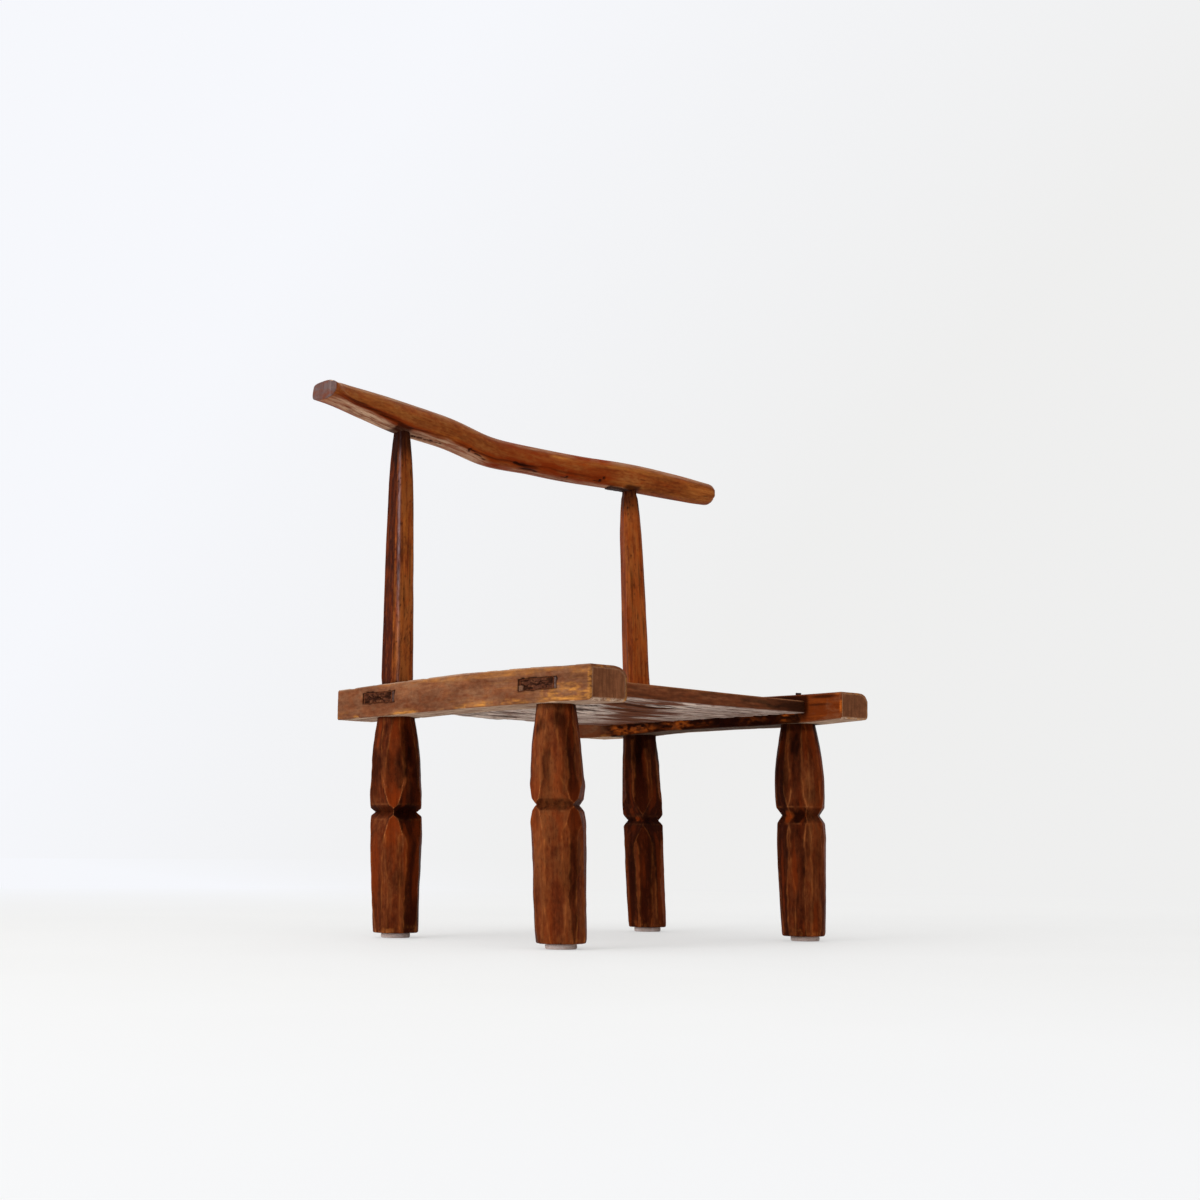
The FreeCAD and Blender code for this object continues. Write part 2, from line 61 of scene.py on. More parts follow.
def soft(points, size, seed):
    """Smooth noise from -1 to 1. Random values sit on a lattice whose cells are size mm wide, one number
    or one for each axis. With t the place in a cell and s = 3t^2 - 2t^3, the value is the mean of the
    cell's eight corners, each weighted by the product of s or 1 - s along the three axes."""
    lattice = np.random.default_rng(seed).uniform(-1, 1, (CELLS, CELLS, CELLS))
    place = points / np.asarray(size, float)
    cell = np.floor(place).astype(int)
    share = place - cell
    share = share ** 2 * (3 - 2 * share)
    total = 0
    for corner in np.ndindex(2, 2, 2):
        index = (cell + corner) % CELLS
        weight = np.where(corner, share, 1 - share).prod(-1)
        total = total + weight * lattice[index[..., 0], index[..., 1], index[..., 2]]
    return total


def rough(points, size, seed):
    """Three layers of soft noise, each half as large and half as strong as the last, held within -1 to 1
    by their sum's divisor: (a + b/2 + c/4) / 1.75."""
    size = np.asarray(size, float)
    layers = [soft(points, size / 2 ** k, seed + k) / 2 ** k for k in range(3)]
    return sum(layers) / 1.75


def through(stations, values, place):
    """A smooth curve through a table: a cubic in each span, whose slope at each station is that of the
    chord between its neighbours."""
    stations, values = np.asarray(stations, float), np.asarray(values, float)
    wide_values, wide_stations = np.pad(values, 1, "edge"), np.pad(stations, 1, "edge")
    slopes = (wide_values[2:] - wide_values[:-2]) / (wide_stations[2:] - wide_stations[:-2])
    k = np.clip(np.searchsorted(stations, place, "right") - 1, 0, len(stations) - 2)
    span = stations[k + 1] - stations[k]
    t = held((place - stations[k]) / span)
    ends = (1 + 2 * t) * (1 - t) ** 2 * values[k] + t ** 2 * (3 - 2 * t) * values[k + 1]
    return ends + t * (1 - t) * ((1 - t) * slopes[k] - t * slopes[k + 1]) * span


def held(values):
    """Values held between 0 and 1."""
    return np.clip(values, 0, 1)


def fade(distance, reach):
    """1 at a distance of 0 or less, falling to 0 at reach along 1 - (3t^2 - 2t^3)."""
    t = held(distance / reach)
    return 1 - t ** 2 * (3 - 2 * t)


print("noise at one point:", round(float(soft(np.array([12.0, 5.0, 7.0]), 9.0, 1)), 4))

# %% [markdown]
# Every wooden piece is a closed surface on a grid: rings of points along the piece, each joined to the
# next, with the end faces made of rings that shrink to a point. That keeps seams and ends closed, and
# gives the end faces enough points for saw marks and checks. Each point also carries a few numbers for
# the materials: where it lies in the straight-grained wood, how worn, grimy or dry it is (the worn and
# dry numbers also carry painted highlights and sheens), whether it is end grain, and how light this
# knife facet came out.

# %% Closed surfaces on a grid
def ring_plan(start, stop, step, start_round=1.0, stop_round=1.0, cap_rings=12, extra=()):
    """Where the rings of a piece lie. Returns for each ring its place along the piece, how far it is
    drawn in by the rounded end arris, r(1 - sqrt(1 - (1-t)^2)), and its scale on the flat end face,
    which runs down to nearly 0."""
    t = np.array([0.0, 0.12, 0.35, 0.65])
    drawn = 1 - np.sqrt(1 - (1 - t) ** 2)
    body = np.arange(start + start_round, stop - stop_round + step / 4, step)
    extra = np.asarray(extra, float)
    if extra.size:
        body = body[abs(body[:, None] - extra).min(1) > step * 0.4]
        body = np.sort(np.concatenate([body, extra]))
    cap = np.linspace(0, 1, cap_rings + 2)[1:-1]
    along = np.concatenate([cap * 0 + start, start + t * start_round, body,
                            (stop - t * stop_round)[::-1], cap * 0 + stop])
    inset = np.concatenate([cap * 0 + start_round, drawn * start_round, body * 0,
                            (drawn * stop_round)[::-1], cap * 0 + stop_round])
    scale = np.concatenate([cap, t * 0 + 1, body * 0 + 1, t * 0 + 1, cap[::-1]])
    return along, inset, scale


def drawn_to(middle, values, scale):
    """middle + scale (value - middle), which shrinks the rings of an end face towards its middle."""
    return middle + (values - middle) * scale[:, None]


def on_end_face(scale, values):
    """1 on the rings of the end faces and 0 elsewhere, in the shape of values."""
    return (scale < 1)[:, None] * np.ones(values.shape)


def wandering(grain, amount, points, size, seed):
    """Lets the fibres wander sideways by an amount times soft noise."""
    return grain + amount * soft(points, size, seed)[..., None] * np.array([1, 1, 0])


def closed_surface(rings):
    """Joins rings (count, around, 3) into one closed skin: four-sided faces between neighbours, and a
    fan of triangles to the middle of the first and the last ring. The faces are turned round if the
    volume, the sum of p0 . (p1 x p2) / 6 over the triangles, comes out negative."""
    count, around = rings.shape[:2]
    points = np.vstack([rings.reshape(-1, 3), rings[0].mean(0), rings[-1].mean(0)])
    here = np.arange(around)
    beside = np.roll(here, -1)
    row = (np.arange(count - 1) * around)[:, None]
    quads = np.stack([row + here, row + beside, row + around + beside, row + around + here], -1)
    quads = quads.reshape(-1, 4)
    last = (count - 1) * around
    foot, head = np.full(around, count * around), np.full(around, count * around + 1)
    fans = np.vstack([np.stack([beside, here, foot], -1), np.stack([last + here, last + beside, head], -1)])
    triangles = np.vstack([quads[:, :3], quads[:, [0, 2, 3]], fans])
    a, b, c = (points[triangles[:, k]] - points.mean(0) for k in range(3))
    if np.einsum("ij,ij->i", a, np.cross(b, c)).sum() < 0:
        quads, fans = quads[:, ::-1], fans[:, ::-1]
    return points, quads, fans

# %% Skins with numbers for the materials
LAYERS = ("wear", "grime", "dry", "stain", "end", "tone")


def skin(rings, grain, **layers):
    """A closed surface with its numbers for the materials. grain is each point's place in the wood,
    with its third number along the fibres. A layer that isn't given is 0, and tone is 0.5."""
    points, quads, fans = closed_surface(rings)
    shape = rings.shape[:2]

    def with_middles(values):
        flat = values.reshape((-1,) + values.shape[2:])
        return np.concatenate([flat, values[:1].mean(1), values[-1:].mean(1)])

    carried = {"grain": with_middles(grain)}
    for name in LAYERS:
        value = layers.get(name, 0.5 if name == "tone" else 0.0)
        carried[name] = with_middles(held(np.zeros(shape) + value))
    return {"points": points, "quads": quads, "fans": fans, "carried": carried}

# %% Pieces made of skins
def add_object(name, data):
    """Puts an object with this data into the scene."""
    item = bpy.data.objects.new(name, data)
    bpy.context.scene.collection.objects.link(item)
    return item


def add_piece(name, skins, slot, replaces, crisp=48):
    """Makes one mesh object of one or more skins, with the finish of that slot, rides it on the chair and
    hides the CAD parts that it replaces. Faces that meet at more than crisp degrees keep a sharp edge."""
    faces, start = [], 0
    for part in skins:
        faces += (part["quads"] + start).tolist() + (part["fans"] + start).tolist()
        start += len(part["points"])
    points = np.vstack([part["points"] for part in skins]) * 0.001
    mesh = bpy.data.meshes.new(name)
    mesh.from_pydata(points, [], faces)
    grain = np.vstack([part["carried"]["grain"] for part in skins]) * 0.001
    layer = mesh.attributes.new("grain", "FLOAT_VECTOR", "POINT")
    layer.data.foreach_set("vector", grain.astype(np.float32).ravel())
    for key in LAYERS:
        values = np.concatenate([part["carried"][key] for part in skins])
        layer = mesh.attributes.new(key, "FLOAT", "POINT")
        layer.data.foreach_set("value", values.astype(np.float32))
    mesh.shade_smooth()
    mesh.set_sharp_from_angle(angle=np.radians(crisp))
    mesh.materials.append(finishes[slot])
    piece = add_object(name, mesh)
    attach(piece, "root")
    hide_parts(*replaces)
    print(name, "points", len(points), "faces", len(faces))


def node_box(node):
    """A CAD node's lowest and highest corner in millimetres."""
    low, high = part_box(node)
    return np.array(low) * 1000, np.array(high) * 1000

# %% [markdown]
# Wood is one kind of material with many moods. The recipe below is written once and used for every
# finish. Streaks and pores are noise textures stretched along the fibres, and the numbers carried by the
# points mix in golden worn wood, dark grime and grey dry wood, and with the same colours a few painted
# highlights and sheens. A picture texture could not follow the carved shapes, and this way needs none.

# %% Node helpers
finishes = {}


def new_finish(name):
    """A new node material, kept in finishes under its name. Returns its node tree and its shader."""
    finishes[name] = bpy.data.materials.new(name)
    finishes[name].use_nodes = True
    tree = finishes[name].node_tree
    return tree, tree.nodes["Principled BSDF"]


def feed(tree, node, inputs):
    """Links each named input of a node to a socket, or sets it to a value."""
    for key, value in inputs.items():
        if isinstance(value, bpy.types.NodeSocket):
            tree.links.new(value, node.inputs[key])
        else:
            node.inputs[key].default_value = value


def add_node(tree, kind, inputs=None, **settings):
    """A shader node of that kind, with its inputs and its settings."""
    node = tree.nodes.new("ShaderNode" + kind)
    for key, value in settings.items():
        setattr(node, key, value)
    feed(tree, node, inputs or {})
    return node


def colour(red, green, blue):
    return (red, green, blue, 1.0)


def mixed(tree, factor, low, high, blend="MIX"):
    """low where factor is 0 and high where it is 1, as a colour."""
    inputs = {0: factor, 6: low, 7: high}
    return add_node(tree, "Mix", inputs, data_type="RGBA", blend_type=blend).outputs[2]


def maths(tree, operation, value, *others):
    """The operation on a value and each of the others in turn. Each is a socket or a number."""
    for other in others:
        value = add_node(tree, "Math", {0: value, 1: other}, operation=operation).outputs[0]
    return value


def times(tree, *parts):
    """The product of sockets and numbers."""
    return maths(tree, "MULTIPLY", *parts)


def plus(tree, *parts):
    """The sum of sockets and numbers."""
    return maths(tree, "ADD", *parts)


def ranged(tree, value, low, high, to_low=0.0, to_high=1.0):
    """Moves low..high to to_low..to_high, and holds it there beyond."""
    inputs = {"Value": value, "From Min": low, "From Max": high, "To Min": to_low, "To Max": to_high}
    return add_node(tree, "MapRange", inputs, clamp=True).outputs["Result"]


def stretched_noise(tree, place, stretch, scale, detail=3.0, rough=0.55, twist=0.0, shift=0.0):
    """A noise texture with scale cells to the metre, drawn out along the fibres by 1 / stretch."""
    place = add_node(tree, "Mapping", {"Vector": place, "Location": (shift, shift * 0.7, 0),
                                       "Scale": (1, 1, stretch)}, vector_type="POINT").outputs[0]
    inputs = {"Vector": place, "Scale": scale, "Detail": detail, "Roughness": rough, "Distortion": twist}
    return add_node(tree, "TexNoise", inputs, noise_dimensions="3D").outputs["Fac"]


def bumped(tree, height, strength, depth):
    """The normal of a surface raised by height, at most depth metres."""
    inputs = {"Height": height, "Strength": strength, "Distance": depth}
    return add_node(tree, "Bump", inputs).outputs["Normal"]

# %% The wood recipe
def wood_finish(name, shades, rough=0.42, gloss=0.1, weights=(0.5, 0.4, 0.6, 0.3), streaks=(150, 0.07),
                shift=0.0, bump=0.4, pore=0.3):
    """Waxed wood. Its figure is tone plus, for streaks, dashes, patches and mottles, weight times
    2 (noise - 0.5), and the colour runs from deep through mid to pale with it. worn, soot, silver,
    stained and sawn are the colours of the worn, grimy, dry, stained and end-grain places, and worn
    wood is redder where it is also stained. The worn and silver colours also paint the highlights and
    sheens that some pieces ask for."""
    tree, shader = new_finish(name)
    deep, mid, pale, worn, soot, silver, stained, sawn = (colour(*shade) for shade in shades)
    read = {key: add_node(tree, "Attribute", attribute_name=key).outputs["Fac"] for key in LAYERS}
    grain = add_node(tree, "Attribute", attribute_name="grain").outputs["Vector"]

    streak = stretched_noise(tree, grain, streaks[1], streaks[0], 4, 0.6, 0.3, shift)
    dash = stretched_noise(tree, grain, 0.11, 560, 3, 0.65, 0.2, shift + 1)
    pores = stretched_noise(tree, grain, 0.045, 1150, 2, 0.6, 0.0, shift)
    patch = stretched_noise(tree, grain, 0.4, 30, 4, 0.6, 0.5, shift)
    blotch = stretched_noise(tree, grain, 0.5, 95, 4, 0.65, 0.6, shift + 3)
    mottle = stretched_noise(tree, grain, 0.55, 300, 2, 0.6, 0.3, shift + 5)

    # The figure: streaks, short dashes, wide patches and small mottles, moved by each facet's own tone.
    figure = maths(tree, "SUBTRACT", read["tone"], sum(weights))
    for weight, part in zip(weights, (streak, dash, patch, mottle)):
        figure = plus(tree, figure, times(tree, part, weight * 2))
    ramp = mixed(tree, ranged(tree, figure, 0.1, 0.5), deep, mid)
    ramp = mixed(tree, ranged(tree, figure, 0.5, 0.9), ramp, pale)
    ruddy = mixed(tree, 1.0, ramp, colour(1.08, 0.80, 0.62), "MULTIPLY")
    ramp = mixed(tree, ranged(tree, blotch, 0.42, 0.62, 0.0, 0.7), ramp, ruddy)

    # Sawn end grain, with its own fine scratches across it.
    across = add_node(tree, "TexCoord").outputs["Object"]
    scratch = stretched_noise(tree, across, 0.07, 380, 4, 0.65, 0.4, shift)
    dim, lit = (colour(*(min(level * part, 1) for part in sawn[:3])) for level in (0.60, 1.42))
    sawn_here = mixed(tree, ranged(tree, scratch, 0.30, 0.70), dim, lit)
    sawn_here = mixed(tree, ranged(tree, blotch, 0.42, 0.66, 0.0, 0.7), sawn_here, deep)
    ramp = mixed(tree, times(tree, read["end"], 0.9), ramp, sawn_here)

    # Dry grey wood lies in long streaks, stains and worn gold in broken patches, grime over it all.
    # Painted highlights and sheens come in with the dry and worn colours.
    ramp = mixed(tree, times(tree, read["dry"], ranged(tree, dash, 0.38, 0.52, 0.3, 1.0)), ramp, silver)
    ramp = mixed(tree, times(tree, read["stain"], ranged(tree, blotch, 0.3, 0.5, 0.6, 1.0)), ramp, stained)
    broken = ranged(tree, plus(tree, blotch, times(tree, dash, 0.7)), 0.72, 0.98, 0.2, 1.0)
    ember = colour(min(1.2 * worn[0], 1.0), 0.66 * worn[1], 0.4 * worn[2])
    worn_here = mixed(tree, ranged(tree, read["stain"], 0.45, 0.95), worn, ember)
    ramp = mixed(tree, times(tree, read["wear"], broken), ramp, worn_here)
    ramp = mixed(tree, ranged(tree, pores, 0.34, 0.43, pore, 0.0), ramp, soot)
    ramp = mixed(tree, times(tree, read["grime"], ranged(tree, blotch, 0.3, 0.62, 1.0, 0.84)), ramp, soot)

    roughness = plus(tree, ranged(tree, streak, 0.3, 0.7, rough + 0.08, rough - 0.07),
                     times(tree, read["dry"], 0.28), times(tree, read["end"], 0.2))
    relief = plus(tree, times(tree, pores, 0.5), times(tree, dash, 0.9),
                  times(tree, scratch, 0.8, read["end"]))
    feed(tree, shader, {"Base Color": ramp, "Roughness": maths(tree, "MINIMUM", roughness, 0.95),
                        "Specular IOR Level": gloss, "Normal": bumped(tree, relief, bump, 0.0007)})

# %% The six wood finishes
# Each finish's colours in order: deep, mid, pale, worn, soot, silver, stained and sawn.
wood_finish(
    "rail_wood", [(0.115, 0.040, 0.018), (0.185, 0.075, 0.036), (0.270, 0.125, 0.060), (0.54, 0.220, 0.046),
                  (0.011, 0.0018, 0.0007), (0.60, 0.42, 0.30), (0.130, 0.022, 0.0034), (0.195, 0.070, 0.030)],
    rough=0.5, gloss=0.01, weights=(0.30, 0.10, 0.40, 0.42), bump=0.5, pore=0.2)
wood_finish(
    "seat_wood", [(0.070, 0.020, 0.008), (0.140, 0.040, 0.015), (0.230, 0.078, 0.032), (0.46, 0.20, 0.08),
                  (0.020, 0.006, 0.003), (0.86, 0.69, 0.59), (0.16, 0.050, 0.022), (0.062, 0.022, 0.014)],
    rough=0.52, gloss=0.012, weights=(0.40, 0.34, 0.45, 0.50), shift=5.0, bump=0.6)
wood_finish(
    "leg_wood", [(0.030, 0.0055, 0.002), (0.095, 0.0205, 0.006), (0.185, 0.053, 0.015), (0.48, 0.150, 0.034),
                 (0.010, 0.0018, 0.0008), (0.46, 0.155, 0.052), (0.19, 0.026, 0.0032), (0.05, 0.018, 0.008)],
    rough=0.42, gloss=0.008, weights=(0.18, 0.12, 0.44, 0.30), streaks=(260, 0.05), shift=9.0)
# The post wood's silver serves only the highlight painted down the left post's chamfer.
wood_finish(
    "post_wood", [(0.050, 0.0095, 0.0035), (0.165, 0.038, 0.010), (0.340, 0.098, 0.022), (0.52, 0.160, 0.026),
                  (0.012, 0.0024, 0.0014), (0.36, 0.26, 0.27), (0.26, 0.042, 0.0050), (0.05, 0.02, 0.01)],
    rough=0.4, gloss=0.015, weights=(0.50, 0.26, 0.44, 0.36), streaks=(300, 0.05), shift=14.0)
# The crest's silver colours its dry bevel and underside, and also the sheen painted along its top.
wood_finish(
    "crest_wood", [(0.150, 0.030, 0.006), (0.262, 0.067, 0.0135), (0.390, 0.140, 0.035), (0.58, 0.25, 0.050),
                   (0.030, 0.0045, 0.0016), (0.66, 0.43, 0.28), (0.240, 0.030, 0.003), (0.120, 0.088, 0.088)],
    rough=0.4, gloss=0.02, weights=(0.36, 0.24, 0.52, 0.44), streaks=(150, 0.08), shift=20.0, bump=0.3)
wood_finish(
    "wedge_wood", [(0.050, 0.018, 0.012), (0.095, 0.042, 0.032), (0.170, 0.090, 0.070), (0.34, 0.17, 0.09),
                   (0.010, 0.003, 0.002), (0.36, 0.25, 0.22), (0.10, 0.03, 0.01), (0.080, 0.040, 0.030)],
    rough=0.6, gloss=0.03, shift=27.0, bump=0.6)
print("wood finishes:", ", ".join(finishes))

# %% [markdown]
# The side rails were squared with an adze. Their section is a rectangle with small arrises and one
# upper edge worn round by hands and thighs, carried along the rail. Two rectangular mortises go through
# each, so the grid gets extra rings and columns right at their edges, and the points between them sink
# in. That gives a crisp pocket without cutting the mesh.

# %% Sections with rounded corners
def rounded_section(west, east, low, high, radii, counts, pocket_side=None, pocket=None):
    """A rectangle with four rounded corners for every ring at once, going round from the lower west
    corner by the bottom. An arc is centre + (wide cos^0.85 a, tall sin^0.85 a), which is a little fuller
    than an ellipse, and the sides run straight between arcs.
    Returns across and up, each (rings, columns), and the outward direction of every column. On the
    pocket side the columns are spread so that two close pairs hug the pocket's lower and upper edge."""
    pairs = [radius if isinstance(radius, tuple) else (radius, radius) for radius in radii]
    pairs = [(low * 0 + wide, low * 0 + tall) for wide, tall in pairs]
    centres = [(west + pairs[0][0], low + pairs[0][1]), (east - pairs[1][0], low + pairs[1][1]),
               (east - pairs[2][0], high - pairs[2][1]), (west + pairs[3][0], high - pairs[3][1])]
    across, up, out = [], [], []
    for k, (cx, cz) in enumerate(centres):
        wide, tall = pairs[k]
        angle = np.radians(180 + 90 * k + 90 * np.linspace(0, 1, counts[4 + k]))
        across.append(cx[:, None] + wide[:, None] * np.sign(np.cos(angle)) * abs(np.cos(angle)) ** 0.85)
        up.append(cz[:, None] + tall[:, None] * np.sign(np.sin(angle)) * abs(np.sin(angle)) ** 0.85)
        out.append(np.stack([np.cos(angle), np.sin(angle)], -1))
        (nx, nz), (next_wide, next_tall) = centres[(k + 1) % 4], pairs[(k + 1) % 4]
        side = np.radians(270 + 90 * k)
        direction = np.array([np.cos(side), np.sin(side)]).round(6)
        t = np.linspace(0, 1, counts[k] + 2)[1:-1]
        x0, z0 = cx + wide * direction[0], cz + tall * direction[1]
        x1, z1 = nx + next_wide * direction[0], nz + next_tall * direction[1]
        if k == pocket_side:
            first, second = pocket if k == 1 else pocket[::-1]
            sign = 0.08 if k == 1 else -0.08
            knots = [z0, z0 * 0 + first - sign, z0 * 0 + first + sign,
                     z0 * 0 + second - sign, z0 * 0 + second + sign, z1]
            third = counts[k] // 3
            parts = [np.linspace(0, 1, third + 2)[1:], [1.0], np.linspace(0, 1, third + 2)[1:],
                     [1.0], np.linspace(0, 1, third + 2)[1:-1]]
            z = np.concatenate([knots[n][:, None] + (knots[n + 1] - knots[n])[:, None] * np.asarray(part)
                                for n, part in enumerate(parts)], 1)
            x = x0[:, None] + np.zeros(z.shape)
        else:
            x, z = x0[:, None] + (x1 - x0)[:, None] * t, z0[:, None] + (z1 - z0)[:, None] * t
        across.append(x)
        up.append(z)
        out.append(np.broadcast_to(direction, (x.shape[1], 2)))
    return np.concatenate(across, 1), np.concatenate(up, 1), np.concatenate(out)


def spots(a, b, marks):
    """The strongest of several soft ellipses. A mark is its centre, its two half lengths and its
    strength. It keeps that out to 0.45 of the half lengths, and fades to 0 at 1.2 of them."""
    total = np.zeros(np.broadcast(a, b).shape)
    for at_a, at_b, half_a, half_b, strength in marks:
        distance = np.sqrt(((a - at_a) / half_a) ** 2 + ((b - at_b) / half_b) ** 2)
        total = np.maximum(total, strength * fade(distance - 0.45, 0.75))
    return total

# %% The rails' sizes
FRONT, MIDDLE, LEG_SPACING, HALF_MORTISE = -212.4, -5.0, 258.8, 28.5
# worn is the worn corner's width and height, each with its growth towards the front after it. radii are
# the other corners' sizes, and the third number is the second one's growth. front_round rounds the front
# end, whose worn arris reaches in by lip. hurt is where the wood is torn out.
rails = {
    "left_rail": dict(
        side=-1, middle_x=-155.12, toe=-4.2, width=46.4, height=33.0, underside=227.2, back=201.0,
        tops=[0.01, 0.02, 0.04, 0.06, 0.07, 0.02, -0.01, -0.08, -0.09],
        lows=[-0.01, -0.01, 0.01, 0.02, 0.02, 0.0, -0.03, -0.05, -0.05],
        mortise=(240.3, 251.5), centres=(-136.8, 124.4), front_round=2.2, lip=3.6,
        worn=(9, 11, 8.5, 5), radii=(2.0, 2.4, 3, 2.4),
        hurt=[(76, 226, 26, 6, 1.0), (-150, 227, 20, 3, 0.6)]),
    "right_rail": dict(
        side=1, middle_x=178.88, toe=2.0, width=41.0, height=32.4, underside=221.4, back=212.4,
        tops=[0.0, 0.0, 0.0, 0.02, 0.03, 0.02, 0.0, -0.03, -0.03],
        lows=[0.15, 0.15, 0.09, 0.06, 0.08, 0.07, -0.02, -0.01, -0.01],
        mortise=(234.7, 245.9), centres=(-132.0, 124.4), front_round=1.3, lip=1.8,
        worn=(9, 5, 8.5, 3.5), radii=(1.6, 3, 2, 2.2), hurt=[(-137, 230, 20, 6, 1.0)]),
}
RAIL_STATIONS = [0.0, 0.004, 0.13, 0.3, 0.47, 0.64, 0.82, 0.996, 1.0]


def rail_height(rail, y, table, base):
    """A rail's top or underside at y: its base plus the rail's height times the table's value there."""
    share = (y - FRONT) / (rail["back"] - FRONT)
    return base + rail["height"] * np.interp(share, RAIL_STATIONS, rail[table])


def rail_middle(rail, y):
    """The rail's middle line, splayed a little: middle + toe (y - MIDDLE) / LEG_SPACING."""
    return rail["middle_x"] + rail["toe"] * (y - MIDDLE) / LEG_SPACING

# %% Marks on the rails
def rail_marks(name, y, z, out, points):
    """Wear, grime, dryness and stain of a rail, from where the real one shows them. Undersides are dry and
    grey, and on the right rail the pale strip left along the outer bottom edge is also that edge's painted
    highlight.
    """
    broken = rough(points, (9, 24, 5), 41)
    streaky = rough(points, (3.4, 30, 2.0), 42)
    fleck = rough(points, (3, 6, 2.2), 43)
    below, above = held(-out[0]), held(out[0])
    level = (1 - below) * (1 - above)
    inner, outer = level * (out[1] > 0), level * (out[1] < 0)
    if name == "left_rail":
        gold = spots(y, z, [(-178, 235, 48, 11, 1.0), (-214, 246, 5, 22, 1.0), (-90, 229.5, 85, 4.6, 0.9),
                            (76, 227, 22, 5, 1.0), (190, 228, 20, 6, 0.5), (-196, 250, 16, 10, 0.3)]) * outer
        scratched = held(2.0 * soft(points, (3, 16, 1.5), 44) - 0.1) * gold * (y < -100)
        gold = gold * np.clip(0.52 + 1.6 * streaky + 1.3 * fleck, 0, 1.1)
        gold = gold + 0.4 * outer * held(1.6 * streaky - 0.35) * fade(y + 60, 150)
        dark = outer * held(0.9 * broken - 0.25) * 0.5 + 0.2 * inner + 0.45 * scratched
        red = 0.35 * outer * held(1.3 * fleck + 0.6 * broken) + 0.35 * inner
    else:
        patches = spots(y, z, [(118, 228, 52, 8, 1.0), (38, 229, 32, 8, 1.0), (0, 231, 24, 6, 0.6),
                               (-85, 231, 30, 6, 0.45), (-137, 231, 18, 4.5, 1.0), (-150, 235, 20, 3, 0.8)])
        front_part, rear = fade(y + 158, 6), fade(168 - y, 22)
        splashed = held(0.7 + 2.2 * broken + 1.6 * fleck)
        gold = inner * patches * splashed * (1 - front_part) * held(0.62 + 1.3 * fleck + 0.6 * streaky)
        gold = gold + inner * front_part * 0.12 * held(0.4 + 1.5 * streaky)
        # The right rail's inner face is dark from the seat's front edge back, less so at the rear, apart from
        # golden patches.
        dark = inner * (1 - patches * splashed) * (1 - front_part) * (1.05 - 0.3 * held(broken))
        dark = dark * (1 - 0.65 * rear)
        dark = dark + below * fade(points[..., 0] - 190, 4) * fade(abs(y) - 150, 8) * 0.9
        dark = dark + inner * spots(y, z, [(-160, 243, 8, 18, 1.0), (-188, 250, 20, 2.2, 0.8),
                                           (-180, 242, 18, 1.6, 0.6)])
        red = inner * (1.0 - 0.4 * rear)
        gold = gold + 0.4 * outer * held(1.5 * streaky)
    gold = gold + 0.15 * above * held(1.4 * broken)
    red = red + 0.2 * above
    # Undersides get the dry grey colour; the pale strip this leaves on the right rail's outer bottom edge is
    # also a painted highlight.
    dry = held(6 * below - 5) * held(0.75 + 1.2 * streaky)
    return gold, dark, dry, red

